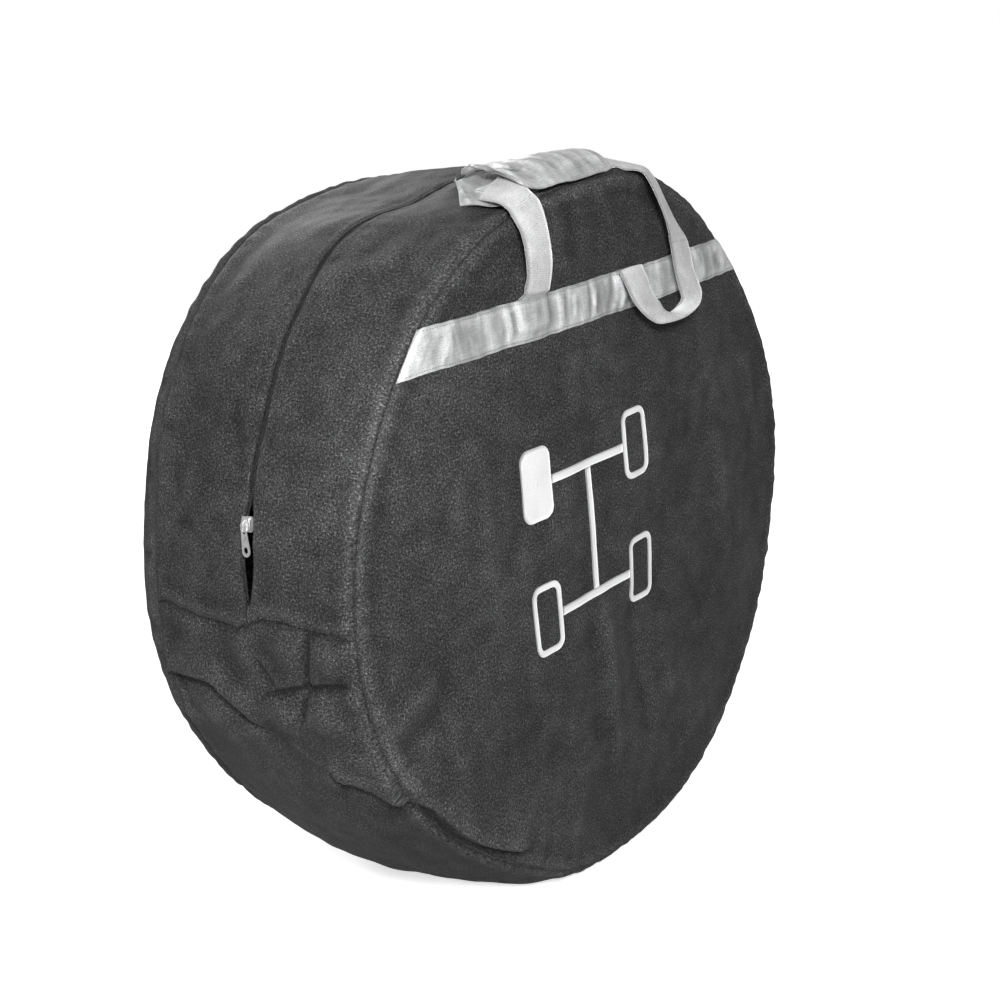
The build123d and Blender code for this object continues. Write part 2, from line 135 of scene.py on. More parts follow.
# ---------------------------------------------------------------------------
# Noise and creases
# ---------------------------------------------------------------------------
def fbm(P, scale, octaves=2, seed=0.0, stretch=(1, 1, 1)):
    """Smooth noise at points P (millimetres), features about scale millimetres across, roughly -1 to 1."""
    shape = P.shape[:-1]
    Q = (P.reshape(-1, 3) / (np.array(stretch, float) * scale)) + seed * 17.31
    out = np.zeros(len(Q))
    amp, total = 1.0, 0.0
    for k in range(octaves):
        out += amp * np.fromiter((noise.noise(q) for q in Q * 2.0 ** k + k * 5.7), float, len(Q))
        total += amp
        amp *= 0.5
    return (out / total).reshape(shape) * 1.6


def polyline_distance(U, V, pts):
    """Signed distance of points (U, V) to a line, positive on its left, and how far along it, 0 to 1."""
    pts = np.array(pts, float)
    seg = np.hypot(*(pts[1:] - pts[:-1]).T)
    cum = np.r_[0, np.cumsum(seg)]
    best = np.full(U.shape, 1e9)
    sign = np.zeros(U.shape)
    along = np.zeros(U.shape)
    for k in range(len(seg)):
        d = (pts[k + 1] - pts[k]) / seg[k]
        u, v = U - pts[k, 0], V - pts[k, 1]
        raw = u * d[0] + v * d[1]
        t = np.clip(raw, 0, seg[k])
        du, dv = u - t * d[0], v - t * d[1]
        dist = np.hypot(du, dv)
        m = dist < best
        best = np.where(m, dist, best)
        sign = np.where(m, np.sign(d[0] * v - d[1] * u), sign)
        along = np.where(m, (cum[k] + t) / cum[-1], along)
    return best * np.where(sign == 0, 1, sign), along


def curve_points(pts, n=24):
    """Catmull-Rom points through a given line."""
    p = np.array(pts, float)
    p = np.vstack([2 * p[0] - p[1], p, 2 * p[-1] - p[-2]])
    out = []
    for k in range(1, len(p) - 2):
        for t in np.linspace(0, 1, max(2, n // (len(p) - 3)), endpoint=False):
            out.append(0.5 * (2 * p[k] + (p[k + 1] - p[k - 1]) * t + (2 * p[k - 1] - 5 * p[k] + 4 * p[k + 1] - p[k + 2]) * t ** 2
                              + (-p[k - 1] + 3 * p[k] - 3 * p[k + 1] + p[k + 2]) * t ** 3))
    out.append(p[-2])
    return np.array(out)


def ridge(U, V, pts, amp, width, ends=0.2):
    """A soft fold along a line: amp millimetres high, fading at both ends."""
    d, s = polyline_distance(U, V, curve_points(pts))
    fade = smooth(s, 0, ends) * smooth(1 - s, 0, ends)
    return amp * np.exp(-(np.abs(d) / width) ** 1.6) * fade


def lap(U, V, pts, high, low, lip=2.2, reach=26.0, under=16.0, ends=0.16):
    """A fold that hangs over itself: swells on the line's left and sinks sharply on its right.
    Returns the rise and how far the swollen side slides over the line."""
    d, s = polyline_distance(U, V, curve_points(pts))
    fade = smooth(s, 0, ends) * smooth(1 - s, 0, ends)
    up = np.where(d > 0, high * (1 - np.exp(-(d / lip) ** 2) * 0.35) * np.exp(-(np.maximum(d - lip, 0) / reach) ** 2), 0)
    down = np.where(d <= 0, -low * (1 - np.exp(-((-d + 0.3) / (lip * 0.55)) ** 2)) * np.exp(-(np.maximum(-d - lip, 0) / under)), 0)
    edge = gauss(d, lip * 0.6) * high * 0.3
    slide = np.where(d > -lip, gauss(d - lip * 0.5, lip * 2.2), 0)
    return (up + down + edge) * fade, slide * fade


def axes_of(P, flip=False):
    """Unit normals of a grid of points, from its neighbours."""
    du = np.gradient(P, axis=0)
    dv = np.gradient(P, axis=1)
    N = np.cross(du, dv)
    N /= np.maximum(np.linalg.norm(N, axis=-1, keepdims=True), 1e-12)
    return -N if flip else N
# ---------------------------------------------------------------------------
# The dressed surfaces: every piece that lies on the bag asks these for its place
# ---------------------------------------------------------------------------
DEG = 350 * math.pi / 180          # millimetres of tread to a degree
CROSS_L = [(113, 178.6), (94, 177.6), (40, 178.4), (-5, 178.6), (-23, 177.4), (-36, 176.6), (-59, 176.4), (-80, 177.0), (-107, 177.2), (-131, 177.8)]
CROSS_R = [(113, 2.2), (60, 2.9), (10, 2.4), (-40, 3.0), (-90, 2.3), (-131, 2.8)]


def cross_angle(Y, side):
    pts = np.array(sorted(CROSS_L if side == "left" else CROSS_R), float)
    return np.interp(Y, pts[:, 0], pts[:, 1])


def settle(P):
    """The base rests on the floor: nothing goes below it."""
    z, k = P[..., 2], 2.2
    P[..., 2] = np.where(z > 25, z, k * np.log1p(np.exp(np.minimum(z, 40) / k))) + 0.15
    return P


def radial(A):
    a = np.radians(A)
    return np.stack([np.cos(a), np.zeros_like(a), np.sin(a)], -1)


def tangent(A):
    a = np.radians(A)
    return np.stack([-np.sin(a), np.zeros_like(a), np.cos(a)], -1)


def seam_depth(A, seed):
    """How deep the stitches draw a seam in, with the gather between them."""
    s = np.stack([A * DEG, 0 * A, 0 * A], -1)
    return 2.3 + 0.7 * fbm(s, 17, 2, seed)


# soft folds of the tread cloth: line of (angle, y), height, width
TREAD_FOLDS = [
    ([(131.5, -18), (126, -60), (119, -104)], 2.6, 15),
    ([(139, -30), (134, -80), (129, -120)], -1.4, 12),
    ([(146, 20), (150, 12), (158, -8)], -1.6, 8),
    ([(156, 84), (161, 74), (168, 58)], -1.6, 9),
    ([(160, 95), (168, 92), (176, 90)], 1.3, 9),
    ([(150, -112), (160, -108), (171, -112)], 1.6, 13),
    ([(103, 70), (112, 52), (121, 44)], 1.6, 14),
    ([(160, -70), (168, -64), (175, -60)], 1.0, 9),
    # creases the cloth was packed with
    ([(176.6, -81), (180.2, -78.5), (186.8, -69.5), (193, -56)], -4.6, 3.4),
    ([(188.8, -18), (187.8, -40), (186.6, -64), (185.2, -107), (184.6, -127)], -4.6, 3.2),
    ([(182.4, -20), (184.2, -23), (187.4, -33)], -3.4, 3.2),
    ([(180.0, -119), (183, -123), (189, -124)], -1.3, 4),
    ([(195.5, -30), (198.5, -55), (201, -88)], 2.0, 8),
    ([(193.5, 20), (198, 2), (203, -14)], 1.8, 10),
    ([(190.5, 92), (194, 86), (201, 74)], 1.6, 8),
    ([(196, 112), (205, 104), (216, 98)], 1.4, 9),
    ([(239.5, 94), (244, 76), (248, 58), (250.4, 12), (250.6, -30), (251, -70)], 2.2, 4.5),
    ([(228, 60), (233, 20), (237, -30)], 1.5, 14),
    ([(214, -118), (218, -104), (224, -84)], 1.8, 8),
    # the side away from the view
    ([(345, -100), (352, -70), (357, -40)], 2.2, 14),
    ([(336, 60), (343, 30), (349, -4)], -2.0, 12),
    ([(322, -30), (330, 10), (334, 70)], 2.2, 14),
    ([(300, -90), (312, -60), (318, -20)], -1.8, 12),
    ([(22, -110), (28, -70), (30, -30)], 2.0, 14),
    ([(12, 80), (26, 60), (34, 20)], 1.8, 13),
    ([(48, -100), (55, -64), (66, -34)], -1.6, 12),
    ([(60, 90), (70, 60), (77, 18)], 2.0, 14),
    ([(3.5, -96), (8, -60), (16, -44)], 1.5, 8),
]
PILLOWS = [(180.9, -57, 7.0, 17), (181.0, -100, 7.0, 16), (191.2, -42, 8.0, 18), (190.6, -88, 8.0, 18), (196.6, -104, 3.4, 14),
           (181.5, 58, 3.0, 24), (195.0, 62, 4.4, 19), (197.5, 100, 3.4, 14), (182.2, -10, 3.4, 15), (186.5, -114, 4.0, 11)]
LAP_1 = [(195.6, -7), (194.3, -4), (191.2, 9), (189.3, 28), (188.0, 39), (187.6, 56), (187.9, 78), (188.4, 103), (190.5, 126)]
LAP_2G = [(209.5, -140), (206.2, -127.8), (204.6, -114.8), (202.3, -100.3), (201.0, -75.8), (200.4, -62)]
LAP_2F = [(-318, 214), (-297, 197), (-278, 184), (-265, 170), (-251, 153), (-237, 136), (-211, 115), (-172, 92), (-150, 84)]
FACE_FOLDS = [
    ([(-318, 262), (-288, 280), (-250, 296)], 3.0, 15),
    ([(-306, 240), (-280, 254), (-250, 262)], -1.8, 11),
    ([(-186, 430), (-191, 370), (-192, 310)], 1.6, 14),
    ([(-172, 300), (-176, 240), (-170, 190)], 1.3, 14),
    ([(-33, 300), (-26, 245), (-20, 170), (-16, 96)], 3.2, 12),
    ([(-52, 280), (-50, 210), (-47, 130)], -1.8, 12),
    ([(14, 290), (20, 210), (34, 140), (50, 96)], -2.6, 14),
    ([(60, 250), (72, 190), (84, 130)], 1.6, 16),
    ([(195, 400), (199, 350), (196, 300)], 1.6, 14),
    ([(150, 470), (165, 430), (168, 380)], -1.2, 16),
    ([(258, 470), (278, 400), (286, 330)], 1.8, 12),
    ([(90, 60), (118, 84), (160, 106)], 1.8, 12),
    ([(-96, 60), (-80, 96), (-74, 140)], 1.6, 12),
    ([(-140, 48), (-128, 76), (-120, 110)], -1.2, 8),
    ([(-290, 430), (-262, 436), (-232, 428)], 1.1, 12),
    ([(-250, 200), (-214, 214), (-180, 208)], 1.6, 16),
    ([(-20, 520), (20, 500), (70, 506)], 1.0, 14),
    ([(-160, 150), (-120, 166), (-84, 160)], -1.3, 14),
    ([(20, 660), (34, 630), (36, 600)], 1.4, 10),
    ([(-30, 655), (-26, 625), (-30, 596)], -1.2, 10),
    ([(-176, 610), (-158, 600), (-136, 604)], 1.3, 9),
]
BACK_FOLDS = [
    ([(-180, 520), (-150, 430), (-150, 330)], 2.6, 18),
    ([(-90, 300), (-60, 200), (-64, 110)], 2.4, 16),
    ([(40, 400), (60, 300), (52, 200)], -2.2, 16),
    ([(150, 480), (190, 400), (200, 300)], 2.6, 18),
    ([(110, 210), (150, 150), (200, 124)], 2.2, 14),
    ([(-230, 250), (-190, 190), (-130, 150)], -2.0, 14),
    ([(-20, 660), (-10, 630), (-16, 596)], 1.4, 10),
    ([(-260, 400), (-250, 340), (-262, 280)], 2.0, 12),
    ([(262, 420), (254, 350), (262, 290)], -1.6, 12),
]


def tread_point(A, T, lift=0.0):
    """Place of tread points at angle A and T, lifted off the cloth by lift millimetres, and the cloth's normal."""
    A, T = np.broadcast_arrays(np.asarray(A, float), np.asarray(T, float))
    e = 0.4
    P = gusset(A, T)
    U = gusset(A + e, T) - gusset(A - e, T)
    V = gusset(A, T + 0.01) - gusset(A, T - 0.01)
    N = np.cross(V, U)
    N /= np.linalg.norm(N, axis=-1, keepdims=True)
    N *= np.sign((N * radial(A)).sum(-1))[..., None]
    Y = P[..., 1]
    S = A * DEG
    yf_, yb_ = FRONT_Y + per(yf, A), BACK_Y + per(yb, A)
    dF, dB = Y - yf_, yb_ - Y
    edge = smooth(dF, 0, 34) * smooth(dB, 0, 34)
    upper = smooth(A, 0, 4) * (1 - smooth(A, 174, 178)) if True else 0
    dZ = np.abs(Y - zip_line_y(A))
    zip_on = smooth(A, 2, 8) * (1 - smooth(A, 173, 178))
    near_zip = zip_on * gauss(dZ, 22)
    Q = np.stack([S, 0 * S, Y], -1)
    low = smooth(np.abs((A - 90 + 180) % 360 - 180), 80, 110)     # 1 on the lower strip
    dn = edge * (2.8 * fbm(Q, 120, 2, 1.0) + 2.0 * fbm(Q, 52, 2, 2.0, (1.5, 1, 1)))
    dn += (0.35 + 0.65 * edge) * 0.6 * fbm(Q, 21, 2, 3.0)
    dn += low * edge * (1.2 * fbm(Q, 62, 2, 4.0, (1, 1, 2.2)))
    for pts, amp, width in TREAD_FOLDS:
        dn += ridge(S, Y, [(a * DEG, y) for a, y in pts], amp, width) * (0.3 + 0.7 * edge)
    for a, y, amp, w in PILLOWS:
        dn += amp * np.exp(-((S - a * DEG) ** 2 + (Y - y) ** 2) / w ** 2) * smooth(dF, 0, 14)
    # seams: a draw at the stitches and a soft roll each side, gathered a little
    along = np.stack([S, 0 * S, 0 * S], -1)
    for d, seed in ((dF, 11.0), (dB, 12.0)):
        gather = fbm(along, 15, 2, seed)
        dn += gauss(d - 8.5, 6.5) * ((1.5 if seed == 11.0 else 0.6) + 0.9 * gather) * smooth(d, 0, 5)
        dn += 0.8 * fbm(np.stack([S * 1.0, 0 * S, d * 0.35], -1), 11, 1, seed + 3) * gauss(d - 5, 12) * smooth(d, 0, 5)
    # zip: the strips sink to the zip, and their turned edges stand up a little
    calm = 1 - 0.75 * smooth(A, 154, 162)
    dn -= zip_on * 2.0 * calm * gauss(dZ, 14)
    dn += zip_on * (0.9 * gauss(dZ - 7.0, 3.2)) * calm
    dn -= zip_on * smooth(A, 156, 162) * 1.3 * gauss(dZ - gap_half(A), 1.6)
    dn += near_zip * 0.75 * fbm(np.stack([S, 0 * S, dZ * 0.4], -1), 13, 2, 21.0) * smooth(dZ, 2, 7)
    # cross seams: the upper strips are lapped over the lower one
    for side, sgn in (("left", 1.0), ("right", -1.0)):
        d = (S - cross_angle(Y, side) * DEG) * sgn          # positive on the lower strip's side
        dn += np.where(np.abs(d) < 60, 1.5 * gauss(d + 5, 5.5) * (1 + 0.5 * fbm(np.stack([Y, 0 * Y, 0 * Y], -1), 24, 1, 31.0))
                       - 1.3 * gauss(d - 4.5, 4.5), 0) * smooth(dF, 0, 8) * smooth(dB, 0, 8)
    rise1, slide1 = lap(S, Y, [(a * DEG, y) for a, y in LAP_1], 7.0, 10.0, 3.0, 24, 20)
    rise2, slide2 = lap(S, Y, [(a * DEG, y) for a, y in LAP_2G], 6.5, 10.0, 3.0, 24, 18, 0.14)
    dn += rise1 + rise2
    P = P + N * (dn * smooth(dF, -0.01, 7) * smooth(dB, -0.01, 7))[..., None]
    P = P + tangent(A) * ((slide1 * 5.5 + slide2 * 4.0) * smooth(dF, 0, 26))[..., None]
    wF, wB = gauss(dF, 3.2), gauss(dB, 3.2)
    inF = -radial(A) * 0.8 + np.array([0, 0.6, 0])
    inB = -radial(A) * 0.9 - np.array([0, 0.44, 0])
    P = P + inF * (wF * seam_depth(A, 41.0) * 1.05)[..., None] + inB * (wB * seam_depth(A, 42.0) * 0.5)[..., None]
    return settle(P + N * lift), N


def face_polar(X, Z):
    A = np.degrees(np.arctan2(Z - AXIS_Z * 1000, X)) % 360
    R = FRONT_R + per(rf, A)
    return A, np.hypot(X, Z - AXIS_Z * 1000) / R, R


def face_base(X, Z):
    A, q, R = face_polar(X, Z)
    return np.stack([X, -147 + (16 + per(yf, A)) * q ** 3, Z], -1)


def face_point(X, Z, lift=0.0):
    """Place of front face points at X, Z, and the cloth's normal."""
    X, Z = np.broadcast_arrays(np.asarray(X, float), np.asarray(Z, float))
    P = face_base(X, Z)
    N = np.cross(face_base(X + 1, Z) - face_base(X - 1, Z), face_base(X, Z + 1) - face_base(X, Z - 1))
    N /= np.linalg.norm(N, axis=-1, keepdims=True)
    A, q, R = face_polar(X, Z)
    d = (1 - q) * R
    Q = np.stack([X, 0 * X, Z], -1)
    edge = smooth(d, 0, 45)
    dn = edge * (2.6 * fbm(Q, 150, 2, 51.0) + 2.0 * fbm(Q, 60, 2, 52.0, (1, 1, 1.9)))
    dn += (0.3 + 0.7 * edge) * 0.4 * fbm(Q, 24, 2, 53.0, (1, 1, 1.5))
    for pts, amp, width in FACE_FOLDS:
        dn += ridge(X, Z, pts, amp, width)
    S = A * DEG
    gather = fbm(np.stack([S, 0 * S, 0 * S], -1), 16, 2, 61.0)
    dn += gauss(d - 9, 7) * (1.7 + 1.0 * gather) * smooth(d, 0, 5)
    dn += 0.9 * fbm(np.stack([S, 0 * S, d * 0.35], -1), 12, 1, 64.0) * gauss(d - 5, 13) * smooth(d, 0, 5)
    rise, slide = lap(X, Z, LAP_2F, 5.0, 6.5, 3.0, 26, 14, 0.12)
    dn += rise
    P = P + N * (dn * smooth(d, -0.01, 7))[..., None]
    P = P + radial(A) * (slide * 4.0 * smooth(d, 0, 26))[..., None]
    inF = -radial(A) * 0.8 + np.array([0, 0.6, 0])
    P = P + inF * (gauss(d, 3.2) * seam_depth(A, 41.0) * 1.05)[..., None]
    return settle(P + N * lift), N


def back_point(A, t, lift=0.0):
    """Place of back face points at angle A and t, and the cloth's normal."""
    A, t = np.broadcast_arrays(np.asarray(A, float), np.asarray(t, float))
    P = back(A, t)
    tt = np.maximum(t, 0.02)
    U = back(A + 0.5, tt) - back(A - 0.5, tt)
    V = back(A, np.minimum(tt + 0.004, 1.0)) - back(A, tt - 0.004)
    N = np.cross(U, V)
    N /= np.maximum(np.linalg.norm(N, axis=-1, keepdims=True), 1e-9)
    N *= np.sign((N * (radial(A) * 0.2 + np.array([0, 1, 0]))).sum(-1))[..., None]
    X, Z = P[..., 0], P[..., 2]
    R = BACK_R + per(rb, A)
    d = np.where(t > 0.6, (1 - t) / 0.4 * 37.0, 37 + (0.6 - t) / 0.6 * (R - 24))      # along the cloth from the seam
    Q = np.stack([X, 0 * X, Z], -1)
    edge = smooth(d, 0, 60)
    dn = edge * (2.8 * fbm(Q, 150, 2, 71.0) + 2.2 * fbm(Q, 60, 2, 72.0, (1, 1, 1.9)))
    dn += (0.3 + 0.7 * edge) * 0.4 * fbm(Q, 24, 2, 73.0)
    for pts, amp, width in BACK_FOLDS:
        dn += ridge(X, Z, pts, amp, width)
    S = A * DEG
    gather = fbm(np.stack([S, 0 * S, 0 * S], -1), 16, 2, 81.0)
    dn += gauss(d - 9, 7) * (0.7 + 1.0 * gather) * smooth(d, 0, 5)
    dn += 0.9 * fbm(np.stack([S, 0 * S, d * 0.35], -1), 12, 1, 84.0) * gauss(d - 5, 13) * smooth(d, 0, 5)
    P = P + N * (dn * smooth(d, -0.01, 7))[..., None]
    inB = -radial(A) * 0.9 - np.array([0, 0.44, 0])
    P = P + inB * (gauss(d, 3.2) * seam_depth(A, 42.0) * 0.5)[..., None]
    return settle(P + N * lift), N


def back_at(X, Z, lift=0.0):
    """The same by X and Z, for what lies on the back face."""
    X, Z = np.broadcast_arrays(np.asarray(X, float), np.asarray(Z, float))
    A = np.degrees(np.arctan2(Z - AXIS_Z * 1000, X)) % 360
    R = BACK_R + per(rb, A)
    r = np.hypot(X, Z - AXIS_Z * 1000)
    t = np.where(r < R - 24, r / (R - 24) * 0.6, 0.8)
    lo, hi = np.full(t.shape, 0.6), np.full(t.shape, 0.955)
    for _ in range(18):                                  # the corner, by halving
        mid = (lo + hi) / 2
        ph = (1 - mid) / 0.4 * np.pi / 2
        rr = R - 24 + 24 * np.cos(ph) + 2 * np.sin(2 * ph)
        lo, hi = np.where(rr < r, mid, lo), np.where(rr < r, hi, mid)
    return back_point(A, np.where(r < R - 24, t, (lo + hi) / 2), lift)


# ---------------------------------------------------------------------------
# Meshes
# ---------------------------------------------------------------------------
def make_object(name, V, quads, uv=None, material=None, smooth_shading=True):
    """V in millimetres, quads as (n, 4) vertex numbers, uv in millimetres per vertex."""
    V = np.asarray(V, float).reshape(-1, 3) / 1000
    quads = np.asarray(quads, np.int32)
    me = bpy.data.meshes.new(name)
    me.vertices.add(len(V))
    me.vertices.foreach_set("co", V.astype(np.float32).ravel())
    me.loops.add(quads.size)
    me.loops.foreach_set("vertex_index", quads.ravel())
    me.polygons.add(len(quads))
    me.polygons.foreach_set("loop_start", np.arange(0, quads.size, quads.shape[1], dtype=np.int32))
    me.update(calc_edges=True)
    me.validate()
    # a third uv column is kept as painted shading: shade in the creases, highlight on the crests and satin streaks, 0.5
    # elsewhere
    wear_and_painted_shading = me.attributes.new("wear_and_painted_shading", "FLOAT", "POINT")
    if uv is not None and np.shape(uv)[-1] == 3:
        wear_and_painted_shading.data.foreach_set("value", np.asarray(uv, np.float32)[..., 2].ravel())
        uv = np.asarray(uv)[..., :2]
    else:
        wear_and_painted_shading.data.foreach_set("value", np.full(len(V), 0.5, np.float32))
    if uv is not None:
        layer = me.uv_layers.new(name="UVMap")
        data = (np.asarray(uv, float).reshape(-1, 2) / 1000)[quads.ravel()]
        if len(layer.data) == len(data):
            layer.data.foreach_set("uv", data.astype(np.float32).ravel())
    me.polygons.foreach_set("use_smooth", np.full(len(me.polygons), smooth_shading))
    ob = bpy.data.objects.new(name, me)
    bpy.context.scene.collection.objects.link(ob)
    if material is not None:
        me.materials.append(material)
    return ob


def grid_quads(n, m, wrap_u=False, wrap_v=False, start=0, flip=False):
    i = np.arange(n if wrap_u else n - 1)
    j = np.arange(m if wrap_v else m - 1)
    I, J = np.meshgrid(i, j, indexing="ij")
    I2, J2 = (I + 1) % n, (J + 1) % m
    q = np.stack([I * m + J, I2 * m + J, I2 * m + J2, I * m + J2], -1).reshape(-1, 4) + start
    return q[:, ::-1] if flip else q


def averaged(P, k, axis):
    """Running mean over k places each way along an axis."""
    k = int(min(max(k, 1), P.shape[axis] - 2))
    pad = [(0, 0)] * P.ndim
    pad[axis] = (k + 1, k)
    c = np.cumsum(np.pad(P, pad, mode="reflect", reflect_type="odd"), axis=axis)
    n = P.shape[axis]
    a = np.take(c, np.arange(2 * k + 1, 2 * k + 1 + n), axis=axis)
    return (a - np.take(c, np.arange(0, n), axis=axis)) / (2 * k + 1)


def crease_shade_crest_highlight(P, N):
    """How much each place stands out of the cloth round it, 0 in a crease to 1 on a crest: painted shade in the creases
    and painted highlight on the crests.
    """
    out = 0
    for reach, height in ((16.0, 2.2), (5.5, 1.5)):
        Q = P
        for axis in (0, 1):
            step = np.linalg.norm(np.diff(P, axis=axis), axis=-1).mean()
            Q = averaged(Q, round(reach / max(step, 0.05)), axis)
        out = out + ((P - Q) * N).sum(-1) / height
    return 0.5 + 0.5 * np.tanh(out)


def shell(P, N, thick, uv, wrap_u=False, wrap_v=False):
    """A closed sheet: the outer surface P, an inner one thick millimetres behind it, and the edges between."""
    n, m = P.shape[:2]
    # third column: painted shade in the creases and painted highlight on the crests
    uv = np.concatenate([np.broadcast_to(uv, (n, m, 2)), (crease_shade_crest_highlight(P, N) if min(n, m) > 8 else np.full((n, m), 0.5))[..., None]], -1)
    inner = P - N * thick
    V = np.concatenate([P.reshape(-1, 3), inner.reshape(-1, 3)])
    c = n * m
    # which way the outer faces look
    du = P[n // 2 + 1 if n // 2 + 1 < n else n // 2, m // 2] - P[n // 2, m // 2]
    dv = P[n // 2, m // 2 + 1 if m // 2 + 1 < m else m // 2] - P[n // 2, m // 2]
    out = (np.cross(du, dv) * N[n // 2, m // 2]).sum() < 0
    quads = [grid_quads(n, m, wrap_u, wrap_v, 0, out), grid_quads(n, m, wrap_u, wrap_v, c, not out)]
    idx = np.arange(c).reshape(n, m)

    def wall(line, turn, close):
        a, b = (line, np.roll(line, -1)) if close else (line[:-1], line[1:])
        q = np.stack([a, b, b + c, a + c], -1)
        return q[:, ::-1] if turn else q
    if not wrap_v:
        quads += [wall(idx[:, 0], out, wrap_u), wall(idx[:, -1], not out, wrap_u)]
    if not wrap_u:
        quads += [wall(idx[0, :], not out, wrap_v), wall(idx[-1, :], out, wrap_v)]
    return V, np.concatenate(quads), np.concatenate([uv.reshape(-1, 3)] * 2)


def cloth(name, P, N, thick, uv, material, wrap_u=False, wrap_v=False):
    V, quads, UV = shell(P, N, thick, uv, wrap_u, wrap_v)
    return make_object(name, V, quads, UV, material)


def true_normals(P, like):
    """The finished cloth's own normals, on the side of like."""
    N = axes_of(P)
    s = np.sign((N * like).sum(-1, keepdims=True))
    s[s == 0] = 1
    return N * s


def fold_blend(ob):
    """Cloth that crosses the line where the opened front folds down: its transform is baked into its mesh, and nothing
    more is done.
    """
    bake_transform(ob)
    return ob
# ---------------------------------------------------------------------------
# Materials. The cloth grain follows each piece's own cut, through its UV map.
# ---------------------------------------------------------------------------
class Nodes:
    def __init__(self, name):
        self.mat = bpy.data.materials.new(name)
        self.mat.use_nodes = True
        self.t = self.mat.node_tree
        self.t.nodes.clear()
        self.out = self.t.nodes.new("ShaderNodeOutputMaterial")
        self.bsdf = self.t.nodes.new("ShaderNodeBsdfPrincipled")
        self.t.links.new(self.bsdf.outputs[0], self.out.inputs[0])
        self.tc = self.t.nodes.new("ShaderNodeTexCoord")

    def link(self, a, b):
        self.t.links.new(a, b)

    def set(self, **kw):
        for k, v in kw.items():
            s = self.bsdf.inputs[k.replace("_", " ")]
            s.default_value = v

    def scaled(self, sx, sy, rot=0.0, source=None):
        m = self.t.nodes.new("ShaderNodeMapping")
        m.inputs["Scale"].default_value = (sx, sy, 1.0)
        m.inputs["Rotation"].default_value = (0, 0, rot)
        self.link(source or self.tc.outputs["UV"], m.inputs["Vector"])
        return m.outputs[0]

    def noise(self, vec, scale, detail=3.0, rough=0.55, distortion=0.0):
        n = self.t.nodes.new("ShaderNodeTexNoise")
        n.inputs["Scale"].default_value = scale
        n.inputs["Detail"].default_value = detail
        n.inputs["Roughness"].default_value = rough
        n.inputs["Distortion"].default_value = distortion
        self.link(vec, n.inputs["Vector"])
        return n.outputs["Fac"]

    def voronoi(self, vec, scale, feature="F1"):
        n = self.t.nodes.new("ShaderNodeTexVoronoi")
        n.feature = feature
        n.inputs["Scale"].default_value = scale
        self.link(vec, n.inputs["Vector"])
        return n.outputs["Distance"]

    def wave(self, vec, scale, distortion=0.0, detail_scale=1.0, direction="X", profile="SIN"):
        n = self.t.nodes.new("ShaderNodeTexWave")
        n.bands_direction = direction
        n.wave_profile = profile
        n.inputs["Scale"].default_value = scale
        n.inputs["Distortion"].default_value = distortion
        n.inputs["Detail"].default_value = 1.0
        n.inputs["Detail Scale"].default_value = detail_scale
        self.link(vec, n.inputs["Vector"])
        return n.outputs["Fac"]

    def math(self, op, a, b=None, clamp=False):
        n = self.t.nodes.new("ShaderNodeMath")
        n.operation = op
        n.use_clamp = clamp
        for k, v in enumerate((a, b)):
            if v is None:
                continue
            if isinstance(v, (int, float)):
                n.inputs[k].default_value = v
            else:
                self.link(v, n.inputs[k])
        return n.outputs[0]

    def ramp(self, fac, stops):
        n = self.t.nodes.new("ShaderNodeValToRGB")
        e = n.color_ramp.elements
        while len(e) > 1:
            e.remove(e[-1])
        e[0].position, e[0].color = stops[0][0], (*stops[0][1], 1)
        for p, c in stops[1:]:
            x = e.new(p)
            x.color = (*c, 1)
        self.link(fac, n.inputs[0])
        return n.outputs[0]

    def mapr(self, fac, a, b, c, d):
        n = self.t.nodes.new("ShaderNodeMapRange")
        for k, v in zip((1, 2, 3, 4), (a, b, c, d)):
            n.inputs[k].default_value = v
        self.link(fac, n.inputs[0])
        return n.outputs[0]

    def bump(self, height, distance, strength=1.0, normal=None):
        n = self.t.nodes.new("ShaderNodeBump")
        n.inputs["Distance"].default_value = distance
        n.inputs["Strength"].default_value = strength
        self.link(height, n.inputs["Height"])
        if normal is not None:
            self.link(normal, n.inputs["Normal"])
        self.link(n.outputs[0], self.bsdf.inputs["Normal"])
        return n.outputs[0]

    def shade_creases_light_crests(self, colour, low, high):
        """Painted shade and painted highlight: colour darker in the creases and lighter on the crests."""
        a = self.t.nodes.new("ShaderNodeAttribute")
        a.attribute_name = "wear_and_painted_shading"
        k = self.mapr(a.outputs["Fac"], 0.0, 1.0, low, high)
        n = self.t.nodes.new("ShaderNodeVectorMath")
        n.operation = "SCALE"
        self.link(colour, n.inputs[0])
        self.link(k, n.inputs["Scale"])
        return n.outputs[0]

    def diamonds(self, pitch):
        """A small lattice of pressed points, crossing at 45 degrees."""
        v = self.scaled(1, 1, math.radians(45))
        s = self.t.nodes.new("ShaderNodeSeparateXYZ")
        self.link(v, s.inputs[0])
        k = 2 * math.pi / pitch
        a = self.math("SINE", self.math("MULTIPLY", s.outputs[0], k))
        b = self.math("SINE", self.math("MULTIPLY", s.outputs[1], k))
        return self.math("ADD", self.math("MULTIPLY", self.math("MULTIPLY", a, b), 0.5), 0.5)


